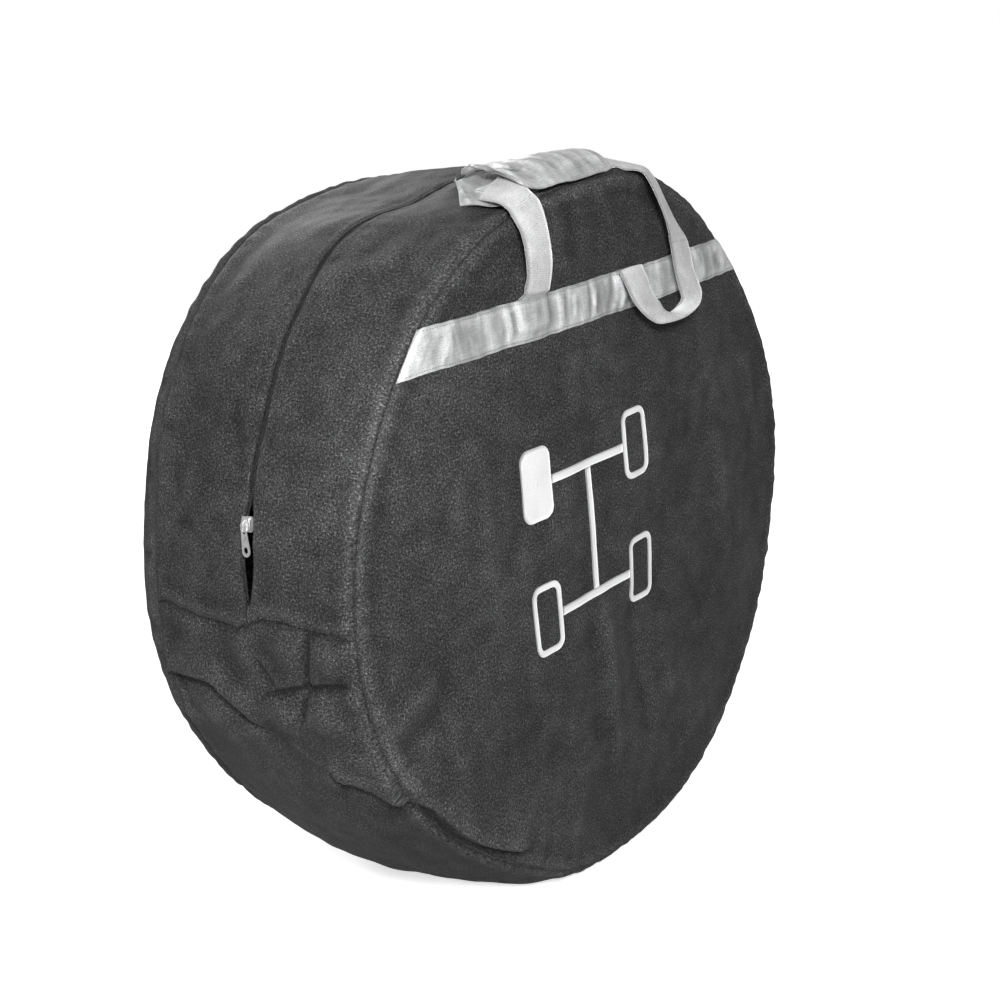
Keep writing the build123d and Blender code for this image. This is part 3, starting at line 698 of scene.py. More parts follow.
def cloth_material(name, dark, light, sheen=0.015, emboss=1.0, rough=0.52):
    """Spun-bonded non-woven cloth: fibre mottle, pressed points, a soft bloom at glancing angles."""
    n = Nodes(name)
    uv = n.tc.outputs["UV"]
    wob = n.t.nodes.new("ShaderNodeTexNoise")
    wob.inputs["Scale"].default_value = 55
    n.link(uv, wob.inputs["Vector"])
    add = n.t.nodes.new("ShaderNodeVectorMath")
    add.operation = "MULTIPLY_ADD"
    n.link(wob.outputs["Color"], add.inputs[0])
    add.inputs[1].default_value = (0.0045, 0.0045, 0.0)
    n.link(uv, add.inputs[2])
    bent = add.outputs[0]
    cloud = n.noise(uv, 7, 4, 0.62)
    patch = n.noise(uv, 48, 3, 0.6)
    fibre_a = n.noise(n.scaled(1.0, 0.5, 0.6, bent), 520, 3, 0.7)
    fibre_b = n.noise(n.scaled(1.0, 0.5, -0.7, bent), 560, 3, 0.7)
    heather = n.noise(uv, 560, 2, 0.7)
    speck = n.noise(uv, 1200, 2, 0.7)
    v = n.scaled(1, 1, math.radians(45), bent)
    sp = n.t.nodes.new("ShaderNodeSeparateXYZ")
    n.link(v, sp.inputs[0])
    k = 2 * math.pi / 0.0021
    lattice = n.math("ADD", n.math("MULTIPLY", n.math("MULTIPLY", n.math("SINE", n.math("MULTIPLY", sp.outputs[0], k)), n.math("SINE", n.math("MULTIPLY", sp.outputs[1], k))), 0.5), 0.5)
    f = n.math("MULTIPLY", cloud, 0.30)
    f = n.math("ADD", f, n.math("MULTIPLY", patch, 0.24))
    f = n.math("ADD", f, n.math("MULTIPLY", fibre_a, 0.36))
    f = n.math("ADD", f, n.math("MULTIPLY", fibre_b, 0.36))
    f = n.math("ADD", f, n.math("MULTIPLY", heather, 1.25))
    f = n.math("ADD", f, n.math("MULTIPLY", speck, 0.45))
    f = n.math("ADD", f, n.math("MULTIPLY", lattice, 0.10 * emboss))
    f = n.mapr(f, 1.24, 1.80, 0.0, 1.0)
    mid = tuple((a + b) / 2 for a, b in zip(dark, light))
    col = n.ramp(f, [(0.0, tuple(0.35 * x for x in dark)), (0.3, dark), (0.58, mid), (0.78, light), (1.0, tuple(2.4 * x for x in light))])
    # painted shade in the creases and painted highlight on the crests
    n.link(n.shade_creases_light_crests(col, 0.58, 1.38), n.bsdf.inputs["Base Color"])
    h = n.math("ADD", n.math("MULTIPLY", lattice, 0.35 * emboss), n.math("MULTIPLY", heather, 0.6))
    h = n.math("ADD", h, n.math("MULTIPLY", fibre_a, 0.5))
    h = n.math("ADD", h, n.math("MULTIPLY", fibre_b, 0.5))
    h = n.math("ADD", h, n.math("MULTIPLY", speck, 0.3))
    n.bump(h, 0.00036, 0.7)
    n.set(Roughness=rough, Sheen_Weight=sheen, Sheen_Roughness=0.5, Specular_IOR_Level=0.11)
    return n.mat


def satin_material(name, dark, light):
    """Silver satin: fine threads across, a broad soft shine, and painted highlights and painted shade on the crumples.
    """
    n = Nodes(name)
    uv = n.tc.outputs["UV"]
    threads = n.wave(n.scaled(1, 1), 230, 0.6, 2.0, "Y")
    slub = n.noise(n.scaled(0.12, 1.0), 900, 2, 0.6)
    cloud = n.noise(uv, 24, 4, 0.65)
    crush = n.noise(n.scaled(1.4, 0.3), 40, 4, 0.7, 0.4)
    glint = n.noise(uv, 700, 2, 0.7)
    # colour: the crush and glint noises paint the crumples' highlights and shade; threads and slubs are the weave
    f = n.math("ADD", n.math("MULTIPLY", threads, 0.10), n.math("MULTIPLY", slub, 0.35))
    f = n.math("ADD", f, n.math("MULTIPLY", cloud, 0.55))
    f = n.math("ADD", f, n.math("MULTIPLY", crush, 0.75))
    f = n.math("ADD", f, n.math("MULTIPLY", glint, 0.30))
    f = n.mapr(f, 0.72, 1.32, 0.0, 1.0)
    col = n.ramp(f, [(0.0, dark), (0.5, tuple((a + b) / 2 for a, b in zip(dark, light))), (1.0, light)])
    # painted shade in the creases and painted highlight on the crests and streaks
    n.link(n.shade_creases_light_crests(col, 0.5, 1.5), n.bsdf.inputs["Base Color"])
    n.link(n.mapr(crush, 0.3, 0.7, 0.30, 0.44), n.bsdf.inputs["Roughness"])
    h = n.math("ADD", n.math("MULTIPLY", threads, 0.5), n.math("MULTIPLY", slub, 0.5))
    h = n.math("ADD", h, n.math("MULTIPLY", crush, 3.2))
    n.bump(h, 0.0004, 0.8)
    n.set(Sheen_Weight=0.15, Sheen_Roughness=0.35, Specular_IOR_Level=0.7, Anisotropic=0.35, Metallic=0.45)
    return n.mat


def webbing_material(name, dark, light):
    """Light polypropylene webbing: a fine twill, faint ribs, greyer where it is rubbed."""
    n = Nodes(name)
    uv = n.tc.outputs["UV"]
    ribs = n.wave(n.scaled(1, 1), 170, 0.5, 3.0, "X")
    twill = n.wave(n.scaled(1, 1, math.radians(38)), 210, 0.8, 2.0, "X")
    fuzz = n.noise(uv, 620, 3, 0.75)
    cloud = n.noise(uv, 45, 4, 0.65)
    f = n.math("ADD", n.math("MULTIPLY", ribs, 0.08), n.math("MULTIPLY", twill, 0.12))
    f = n.math("ADD", f, n.math("MULTIPLY", fuzz, 0.75))
    f = n.math("ADD", f, n.math("MULTIPLY", cloud, 0.5))
    f = n.mapr(f, 0.52, 0.92, 0.0, 1.0)
    n.link(n.ramp(f, [(0.0, dark), (0.45, tuple((a + b) / 2 for a, b in zip(dark, light))), (1.0, light)]), n.bsdf.inputs["Base Color"])
    h = n.math("ADD", n.math("MULTIPLY", twill, 0.4), n.math("MULTIPLY", fuzz, 0.6))
    n.bump(h, 0.00025, 0.7)
    n.set(Roughness=0.6, Sheen_Weight=0.1, Sheen_Roughness=0.4, Specular_IOR_Level=0.4)
    return n.mat


def tape_material(name, dark, light, pitch=0.0011, rough=0.7):
    """Narrow woven tape: fine lengthwise and crosswise threads."""
    n = Nodes(name)
    uv = n.tc.outputs["UV"]
    a = n.wave(n.scaled(1, 1), 0.31 / pitch, 0.3, 2.0, "X")
    b = n.wave(n.scaled(1, 1), 0.31 / pitch, 0.3, 2.0, "Y")
    fuzz = n.noise(uv, 800, 3, 0.7)
    f = n.math("ADD", n.math("MULTIPLY", n.math("MULTIPLY", a, b), 0.6), n.math("MULTIPLY", fuzz, 0.6))
    n.link(n.ramp(n.mapr(f, 0.15, 0.8, 0, 1), [(0.0, dark), (1.0, light)]), n.bsdf.inputs["Base Color"])
    n.bump(n.math("ADD", n.math("MULTIPLY", a, b), n.math("MULTIPLY", fuzz, 0.5)), 0.0002, 0.8)
    n.set(Roughness=rough, Sheen_Weight=0.2, Specular_IOR_Level=0.4)
    return n.mat


def thread_material(name, dark, light):
    """Two-ply sewing thread."""
    n = Nodes(name)
    twist = n.wave(n.scaled(1, 1, math.radians(35)), 700, 0.4, 2.0, "X")
    fuzz = n.noise(n.tc.outputs["Object"], 1500, 2, 0.7)
    f = n.math("ADD", n.math("MULTIPLY", twist, 0.5), n.math("MULTIPLY", fuzz, 0.6))
    n.link(n.ramp(n.mapr(f, 0.2, 0.9, 0, 1), [(0.0, dark), (1.0, light)]), n.bsdf.inputs["Base Color"])
    n.bump(f, 0.0001, 0.6)
    n.set(Roughness=0.55, Sheen_Weight=0.2, Specular_IOR_Level=0.5)
    return n.mat


def coil_material(name):
    n = Nodes(name)
    f = n.noise(n.tc.outputs["Object"], 700, 3, 0.6)
    n.link(n.ramp(f, [(0.3, (0.012, 0.012, 0.013)), (0.7, (0.032, 0.032, 0.034))]), n.bsdf.inputs["Base Color"])
    n.link(n.mapr(f, 0.3, 0.7, 0.28, 0.42), n.bsdf.inputs["Roughness"])
    n.bump(f, 0.00006, 0.5)
    n.set(Specular_IOR_Level=0.5)
    return n.mat


def metal_material(name):
    """Nickel plate with fine rub marks and a little tarnish in the hollows."""
    n = Nodes(name)
    ob = n.tc.outputs["Object"]
    wear_and_painted_shading = n.noise(ob, 260, 4, 0.65)
    fine = n.noise(n.scaled(1.0, 0.12, 0.3, ob), 2600, 2, 0.6)
    n.link(n.ramp(wear_and_painted_shading, [(0.25, (0.62, 0.61, 0.60)), (0.5, (0.84, 0.84, 0.84)), (0.75, (0.94, 0.94, 0.95))]), n.bsdf.inputs["Base Color"])
    n.link(n.mapr(n.math("ADD", n.math("MULTIPLY", wear_and_painted_shading, 0.7), n.math("MULTIPLY", fine, 0.5)), 0.4, 0.85, 0.26, 0.44), n.bsdf.inputs["Roughness"])
    n.bump(n.math("ADD", n.math("MULTIPLY", fine, 0.5), wear_and_painted_shading), 0.00004, 0.5)
    n.set(Metallic=0.75)
    return n.mat


def print_material(name):
    """White transfer film pressed on the cloth: the grain shows through, thin spots are greyer."""
    n = Nodes(name)
    uv = n.tc.outputs["UV"]
    lattice = n.diamonds(0.0026)
    heather = n.noise(uv, 420, 3, 0.7)
    speck = n.noise(uv, 1250, 2, 0.7)
    cloud = n.noise(uv, 30, 3, 0.6)
    f = n.math("ADD", n.math("MULTIPLY", heather, 0.5), n.math("MULTIPLY", speck, 0.4))
    f = n.math("ADD", f, n.math("MULTIPLY", cloud, 0.4))
    f = n.math("ADD", f, n.math("MULTIPLY", lattice, 0.15))
    n.link(n.ramp(n.mapr(f, 0.4, 1.0, 0, 1), [(0.0, (0.60, 0.60, 0.60)), (0.22, (0.80, 0.80, 0.80)), (1.0, (0.90, 0.90, 0.90))]), n.bsdf.inputs["Base Color"])
    n.link(n.mapr(f, 0.4, 1.0, 0.5, 0.36), n.bsdf.inputs["Roughness"])
    n.bump(n.math("ADD", n.math("MULTIPLY", lattice, 0.6), heather), 0.0003, 0.5)
    n.set(Specular_IOR_Level=0.5)
    return n.mat


M_CLOTH = cloth_material("bag_cloth", (0.022, 0.0221, 0.0224), (0.072, 0.0723, 0.0731))
# satin colour runs from painted shade up to painted highlight
M_SATIN = satin_material("satin", (0.26, 0.262, 0.265), (0.90, 0.902, 0.91))
M_WEB = webbing_material("webbing", (0.36, 0.36, 0.364), (0.80, 0.80, 0.805))
M_BIND = tape_material("binding_tape", (0.012, 0.012, 0.013), (0.045, 0.045, 0.047), 0.0014)
M_ZTAPE = tape_material("zip_tape", (0.008, 0.008, 0.009), (0.03, 0.03, 0.032), 0.0009)
M_COIL = coil_material("zip_coil")
M_METAL = metal_material("zip_metal")
M_THREAD = thread_material("grey_thread", (0.07, 0.07, 0.072), (0.20, 0.20, 0.205))
M_THREAD_DARK = thread_material("black_thread", (0.012, 0.012, 0.013), (0.05, 0.05, 0.052))
M_PRINT = print_material("print_white")
# ---------------------------------------------------------------------------
# The bag's cloth
# ---------------------------------------------------------------------------
CLOTH = 1.3


def gap_half(A):
    """Half the open width between the two strips' turned edges along the zip, in millimetres."""
    knots = np.array([(0, 0.3), (4.6, 0.3), (6.0, 1.6), (8.0, 2.3), (158, 2.3), (161.5, 2.9), (163.5, 4.9), (166, 6.0),
                      (168.5, 6.6), (171, 6.0), (173.4, 4.2), (175.2, 2.0), (176.3, 0.35), (180, 0.3)])
    return np.interp(A, knots[:, 0], knots[:, 1])


def tape_half(A):
    return np.clip(gap_half(A) - 0.9, 0.15, None) * smooth(A, 159, 164) + 0.15


def square_disc(n, power=1.0):
    """An even grid over a unit disc: radius and angle in degrees."""
    s = np.linspace(-1, 1, n)
    s = np.sign(s) * (1 - (1 - np.abs(s)) ** power)
    a, b = np.meshgrid(s, s, indexing="ij")
    with np.errstate(divide="ignore", invalid="ignore"):
        big = np.abs(a) > np.abs(b)
        rho = np.where(big, a, b)
        th = np.where(big, np.pi / 4 * b / a, np.pi / 2 - np.pi / 4 * a / b)
    th = np.where(np.abs(rho) < 1e-12, 0, th)
    th = np.where(rho < 0, th + np.pi, th)
    return np.abs(rho), np.degrees(th) % 360


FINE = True
n_face = 300 if FINE else 170
rho, th = square_disc(n_face, 1.12)
Rf = FRONT_R + per(rf, th)
FX, FZ = rho * Rf * np.cos(np.radians(th)), rho * Rf * np.sin(np.radians(th)) + AXIS_Z * 1000
P, N = face_point(FX, FZ)
front_panel = cloth("front_panel_cloth", P, true_normals(P, N), CLOTH, np.stack([FX, FZ], -1), M_CLOTH)
fold_blend(front_panel)
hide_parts("upper_front_panel", "lower_front_panel")

n_back = 200 if FINE else 120
rho, th = square_disc(n_back, 1.12)
P, N = back_point(th, rho)
back_panel = cloth("back_panel_cloth", P, true_normals(P, N), CLOTH, np.stack([rho * 360 * np.cos(np.radians(th)), rho * 360 * np.sin(np.radians(th))], -1), M_CLOTH)
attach(back_panel, "bag_base")
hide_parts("back_panel")


def strip_grid(n, m, t0, t1, side_over=0.0):
    """Angles and T of an upper strip, from cross seam to cross seam. t0 and t1 give T at the two edges for angles."""
    s = np.linspace(0, 1, n)[:, None]
    w = np.linspace(0, 1, m)[None, :]
    A = 2.5 + (177.5 - 2.5) * s + 0 * w
    for _ in range(4):
        T = t0(A) * (1 - w) + t1(A) * w
        Y = gusset(A, T)[..., 1]
        A = (cross_angle(Y, "right") - side_over) * (1 - s) + (cross_angle(Y, "left") + side_over) * s
    T = t0(A) * (1 - w) + t1(A) * w
    return A, T


def bunch(w, near, share):
    """Leaves the grid lines as they are: nothing moves them towards an edge."""
    return w


n_long = 520 if FINE else 280
A, T = strip_grid(n_long, 42 if FINE else 30, lambda A: -1 + 0 * A, lambda A: gusset_t(A, zip_line_y(A) - gap_half(A)), 0.22)
P, N = tread_point(A, T)
Y = P[..., 1]
upper_front = cloth("upper_gusset_front_cloth", P, true_normals(P, N), CLOTH, np.stack([A * DEG, Y], -1), M_CLOTH)
fold_blend(upper_front)
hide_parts("upper_gusset_front")

A, T = strip_grid(n_long, 46 if FINE else 32, lambda A: gusset_t(A, zip_line_y(A) + gap_half(A)), lambda A: 1 + 0 * A, 0.22)
P, N = tread_point(A, T)
upper_back = cloth("upper_gusset_back_cloth", P, true_normals(P, N), CLOTH, np.stack([A * DEG, P[..., 1]], -1), M_CLOTH)
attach(upper_back, "bag_base")
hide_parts("upper_gusset_back")

# lower strip: from the left cross seam round underneath to the right one, a little under the upper strips' lap
n_low = 760 if FINE else 300
m_low = 140 if FINE else 62
s = np.linspace(0, 1, n_low)[:, None]
w = np.linspace(0, 1, m_low)[None, :]
T = -1 + 2 * w + 0 * s
A = 178 + 184 * s + 0 * w
for _ in range(3):
    Yl = gusset(A, T)[..., 1]
    A = (cross_angle(Yl, "left") - 1.1) * (1 - s) + (360 + cross_angle(Yl, "right") + 1.1) * s
P, N = tread_point(A, T)
tuck = np.maximum(smooth(cross_angle(P[..., 1], "left") + 0.9 - A, 0, 0.7), smooth(A - 360 - cross_angle(P[..., 1], "right") + 0.9, 0, 0.7))
P = P - N * (tuck * 1.6)[..., None]
lower = cloth("lower_gusset_cloth", P, true_normals(P, N), CLOTH, np.stack([A * DEG, P[..., 1]], -1), M_CLOTH)
fold_blend(lower)
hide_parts("lower_gusset")

# ---------------------------------------------------------------------------
# Inside: binding over the seam allowances, tapes behind the cross seams
# ---------------------------------------------------------------------------


def ribbon_on(fn, name, U, V, lift, thick, uv, material, wrap_u=False):
    P, N = fn(U, V, lift)
    return cloth(name, P, true_normals(P, N), thick, uv, material, wrap_u)


n = 420
A = np.linspace(0, 360, n, endpoint=False)[:, None] + 0 * np.linspace(0, 1, 5)[None, :]
for name, yy, nodes, blend in (("front_seam_binding_tape", np.linspace(3.0, 14.0, 5), ("front_seam_binding_lower", "front_seam_binding_upper"), True),
                               ("back_seam_binding_tape", -np.linspace(3.0, 14.0, 5), ("back_seam_binding",), False)):
    base = (FRONT_Y + per(yf, A)) if blend else (BACK_Y + per(yb, A))
    T = gusset_t(A, base + yy[None, :])
    ob = ribbon_on(tread_point, name, A, T, -CLOTH - 0.45, 0.8, np.stack([A * DEG, 0 * A + yy[None, :]], -1), M_BIND, True)
    fold_blend(ob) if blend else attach(ob, "bag_base")
    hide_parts(*nodes)

V_all, Q_all, UV_all, start = [], [], [], 0
for side in ("left", "right"):
    y = np.linspace(-114, 96, 60)[:, None] + 0 * np.linspace(0, 1, 5)[None, :]
    off = np.linspace(-1.3, 1.3, 5)[None, :] + (0.7 if side == "left" else -0.7)
    A = cross_angle(y, side) + off
    P, N = tread_point(A, gusset_t(A, y), -CLOTH - 2.1)
    V, Q, UV = shell(P, true_normals(P, N), 0.8, np.stack([A * DEG, y], -1))
    V_all.append(V); Q_all.append(Q + start); UV_all.append(UV); start += len(V)
ob = make_object("cross_seam_tape_pair", np.concatenate(V_all), np.concatenate(Q_all), np.concatenate(UV_all), M_BIND)
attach(ob, "bag_base")
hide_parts("cross_seam_tapes")


# ---------------------------------------------------------------------------
# Stitches: real thread, one stitch after the other
# ---------------------------------------------------------------------------
def stitches(name, P, N, material, pitch=3.2, length=2.3, radius=0.24, rise=0.12, sink=0.25, jitter=0.12, seed=1, groups=None):
    """Stitches along one or more lines of points. P and N are lists of (n, 3) arrays."""
    rng = np.random.default_rng(seed)
    sides = 6
    ring = np.linspace(0, 2 * np.pi, sides, endpoint=False)
    sx = np.array([-0.5, -0.36, -0.12, 0.12, 0.36, 0.5])
    rr = np.array([0.35, 0.85, 1.0, 1.0, 0.85, 0.35])
    hh = np.array([-1.0, -0.1, 1.0, 1.0, -0.1, -1.0])
    Vs, Qs, UVs, start = [], [], [], 0
    for p, nn in zip(P, N):
        seg = np.linalg.norm(np.diff(p, axis=0), axis=1)
        cum = np.r_[0, np.cumsum(seg)]
        at = np.arange(pitch / 2, cum[-1] - pitch / 2, pitch)
        at = at + rng.uniform(-jitter, jitter, len(at))

        def read(a, arr):
            return np.stack([np.interp(a, cum, arr[:, k]) for k in range(3)], -1)
        L = length * (1 + rng.uniform(-0.06, 0.06, len(at)))
        t = read(at + 0.6, p) - read(at - 0.6, p)
        t /= np.linalg.norm(t, axis=1, keepdims=True)
        n0 = read(at, nn)
        n0 /= np.linalg.norm(n0, axis=1, keepdims=True)
        b = np.cross(n0, t)
        b /= np.linalg.norm(b, axis=1, keepdims=True)
        t = t + b * rng.uniform(-0.05, 0.05, len(at))[:, None]
        c = read(at, p)
        h = np.where(hh > 0, rise * hh, sink * hh)
        pts = (c[:, None, None, :] + t[:, None, None, :] * (L[:, None] * sx[None, :])[:, :, None, None]
               + n0[:, None, None, :] * (h[None, :, None, None] + radius * (rr[:, None] * np.cos(ring)[None, :])[None, :, :, None])
               + b[:, None, None, :] * (radius * (rr[:, None] * np.sin(ring)[None, :]))[None, :, :, None])
        m, k = pts.shape[0], len(sx)
        q1 = grid_quads(k, sides, False, True)
        caps = np.array([[0, 1, 2, 3], [0, 3, 4, 5], [(k - 1) * sides + x for x in (3, 2, 1, 0)], [(k - 1) * sides + x for x in (5, 4, 3, 0)]])
        q1 = np.concatenate([q1, caps])
        Qs.append((q1[None] + (np.arange(m) * k * sides)[:, None, None]).reshape(-1, 4) + start)
        Vs.append(pts.reshape(-1, 3))
        u = (sx[None, :, None] * L[:, None, None] + at[:, None, None] + 0 * ring[None, None, :])
        v = (ring[None, None, :] * radius + 0 * u)
        UVs.append(np.stack([u, v], -1).reshape(-1, 2))
        start += m * k * sides
    return make_object(name, np.concatenate(Vs), np.concatenate(Qs), np.concatenate(UVs), material)


def tread_line(A, y, lift=0.0):
    P, N = tread_point(A, gusset_t(A, y), lift)
    return P, N


# topstitching along the zip's turned edges
A = np.linspace(4.5, 175.6, 700)
for name, sgn, body in (("zip_topstitching_front", -1, "flap"), ("zip_topstitching_back", 1, "base")):
    P, N = tread_line(A, zip_line_y(A) + sgn * (gap_half(A) + 3.0), 0.05)
    ob = stitches(name, [P], [N], M_THREAD_DARK, 3.0, 2.1, 0.26, 0.14, 0.35, seed=5 + sgn)
    fold_blend(ob) if body == "flap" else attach(ob, "bag_base")

lines, normals = [], []
for side, sgn in (("left", -1), ("right", 1)):
    y = np.linspace(-122, 104, 200)
    y = y[np.abs(y - zip_line_y(cross_angle(y, side))) > 5]
    for part in (y[y < ZIP_Y], y[y > ZIP_Y]):
        A2 = cross_angle(part, side) + sgn * 0.55
        P, N = tread_point(A2, gusset_t(A2, part), 0.05)
        lines.append(P); normals.append(N)
ob = stitches("cross_seam_topstitching", lines, normals, M_THREAD_DARK, 3.0, 2.1, 0.24, 0.12, 0.35, seed=9)
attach(ob, "bag_base")

# ---------------------------------------------------------------------------
# Zip: tapes and coils
# ---------------------------------------------------------------------------
for name, sgn, node in (("zip_tape_front_woven", -1, "zip_tape_front"), ("zip_tape_back_woven", 1, "zip_tape_back")):
    A = np.linspace(4.3, 175.9, 330)[:, None] + 0 * np.linspace(0, 1, 7)[None, :]
    off = np.array([0, 0.6, 1.4, 3.2, 6.5, 10.5, 15.0])[None, :]
    y = zip_line_y(A) + sgn * (tape_half(A) + off)
    P, N = tread_point(A, gusset_t(A, y), -CLOTH - 0.35)
    ob = cloth(name, P, true_normals(P, N), 0.55, np.stack([A * DEG, y], -1), M_ZTAPE)
    if sgn < 0:
        fold_blend(ob)
    else:
        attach(ob, "bag_base")
    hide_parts(node)


def tube(path, radius, sides, normals=None):
    """Quads of a tube round a path, ends closed."""
    t = np.gradient(path, axis=0)
    t /= np.maximum(np.linalg.norm(t, axis=1, keepdims=True), 1e-12)
    ref = np.array([0.0, 1.0, 0.0]) if normals is None else normals
    b = np.cross(t, ref + 0 * t)
    b /= np.maximum(np.linalg.norm(b, axis=1, keepdims=True), 1e-9)
    c = np.cross(b, t)
    ring = np.linspace(0, 2 * np.pi, sides, endpoint=False)
    V = path[:, None, :] + radius * (b[:, None, :] * np.cos(ring)[None, :, None] + c[:, None, :] * np.sin(ring)[None, :, None])
    return V.reshape(-1, 3), grid_quads(len(path), sides, False, True)


for name, sgn, node in (("zip_coil_front_teeth", -1, "zip_coil_front"), ("zip_coil_back_teeth", 1, "zip_coil_back")):
    pitch, per_turn = 1.75, 8
    Ac = np.linspace(5.2, 174.9, 500)
    yc = zip_line_y(Ac) + sgn * (tape_half(Ac) + 0.95)
    C, Nc = tread_point(Ac, gusset_t(Ac, yc), -CLOTH + 0.1)
    seg = np.r_[0, np.cumsum(np.linalg.norm(np.diff(C, axis=0), axis=1))]
    turns = int(seg[-1] / pitch)
    k = np.arange(turns * per_turn)
    at = k / per_turn * pitch
    c = np.stack([np.interp(at, seg, C[:, j]) for j in range(3)], -1)
    nn = np.stack([np.interp(at, seg, Nc[:, j]) for j in range(3)], -1)
    nn /= np.linalg.norm(nn, axis=1, keepdims=True)
    ph = 2 * np.pi * k / per_turn + (np.pi if sgn > 0 else 0)
    side = np.array([0, 1.0, 0]) - nn * nn[:, 1:2]
    path = c + side * (1.15 * np.cos(ph))[:, None] + nn * (0.72 * np.sin(ph))[:, None]
    V, Q = tube(path, 0.36, 5, nn)
    ob = make_object(name, V, Q, None, M_COIL)
    if sgn < 0:
        fold_blend(ob)
    else:
        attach(ob, "bag_base")
    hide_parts(node)


def block(centre, ex, ey, ez, size, bevel, name, material, segments=3):
    """A small rounded block on given axes. Millimetres."""
    import bmesh
    bm = bmesh.new()
    bmesh.ops.create_cube(bm, size=1.0)
    for v in bm.verts:
        x, y, z = v.co.x * size[0], v.co.y * size[1], v.co.z * size[2]
        v.co = Vector(centre) / 1000 + (Vector(ex) * x + Vector(ey) * y + Vector(ez) * z) / 1000
    bmesh.ops.bevel(bm, geom=bm.edges[:], offset=bevel / 1000, segments=segments, profile=0.6, affect="EDGES")
    bmesh.ops.recalc_face_normals(bm, faces=bm.faces)
    me = bpy.data.meshes.new(name)
    bm.to_mesh(me)
    bm.free()
    me.materials.append(material)
    for p in me.polygons:
        p.use_smooth = True
    ob = bpy.data.objects.new(name, me)
    bpy.context.scene.collection.objects.link(ob)
    return ob


def stop_at(name, A0, off, width, node, blend):
    """A crimped stop, pressed down between the tapes."""
    A0 = np.array([A0])
    P, N = tread_point(A0, gusset_t(A0, zip_line_y(A0) + off), -1.8)
    ob = block(P[0], tangent(A0)[0], (0, 1, 0), N[0], (2.6, width, 2.2), 0.5, name, M_COIL if not blend and off == 0 else M_METAL)
    if blend:
        fold_blend(ob)
    else:
        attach(ob, "bag_base")
    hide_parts(node)


stop_at("zip_bottom_stop_crimp", 175.1, 0.0, 4.6, "zip_bottom_stop", False)
stop_at("zip_top_stop_crimp_back", 4.9, 1.7, 2.2, "zip_top_stop_back", False)
stop_at("zip_top_stop_crimp_front", 4.9, -1.7, 2.2, "zip_top_stop_front", True)
# ---------------------------------------------------------------------------
# Satin bands and their stitching
# ---------------------------------------------------------------------------
def creased(Q, scale, seed, stretch=(1, 1, 1)):
    """Sharp-edged crumple: ridges where smooth noise crosses nought."""
    return 1 - 2 * np.abs(fbm(Q, scale, 2, seed, stretch))


BAND_FOLDS = [([(-199, 546), (-195, 560), (-190, 578)], -1.6, 3.2), ([(-132, 548), (-129, 562), (-130, 576)], 1.5, 3.4),
              ([(-121, 552), (-122, 574)], -0.9, 2.6), ([(-100, 550), (-98, 574)], 0.8, 3.0), ([(-62, 545), (-59, 562), (-60, 579)], 2.0, 4.4),
              ([(-52, 546), (-50, 578)], -1.1, 3.0), ([(-40, 552), (-37, 574)], 0.9, 3.0), ([(-18, 545), (-14, 562), (-13, 580)], -1.6, 2.4),
              ([(-6, 548), (1, 566), (2, 580)], -1.7, 2.4), ([(10, 545), (20, 560), (22, 579)], -1.9, 2.6), ([(-10, 556), (-4, 572)], 1.2, 3),
              ([(32, 545), (36, 560), (30, 580)], 2.6, 4.2), ([(44, 546), (48, 562), (42, 580)], -2.2, 3.0), ([(56, 548), (60, 578)], 1.8, 4.0),
              ([(-240, 552), (-222, 574)], 1.3, 3.4), ([(-226, 548), (-208, 572)], -1.2, 3.0), ([(-214, 547), (-200, 566)], 1.1, 3.0),
              ([(214, 574), (238, 554)], 1.8, 4.0), ([(226, 576), (248, 556)], -1.2, 3.0), ([(186, 548), (190, 576)], 1.1, 4)]


def band_rise(X, Z, seed):
    Q = np.stack([X, 0 * X, Z], -1)
    d = 0.75 * fbm(Q, 26, 2, seed, (1, 1, 3.2)) + 0.6 * np.maximum(creased(Q, 34, seed + 1, (1, 1, 2.4)), 0) - 0.2
    d = d + 0.35 * fbm(Q, 9, 2, seed + 2, (1, 1, 2.0))
    for pts, amp, width in BAND_FOLDS:
        d = d + (ridge(X, Z, pts, amp, width, 0.12) if seed < 95 else 0.6 * ridge(-X, Z, pts, amp, width, 0.12))
    return d


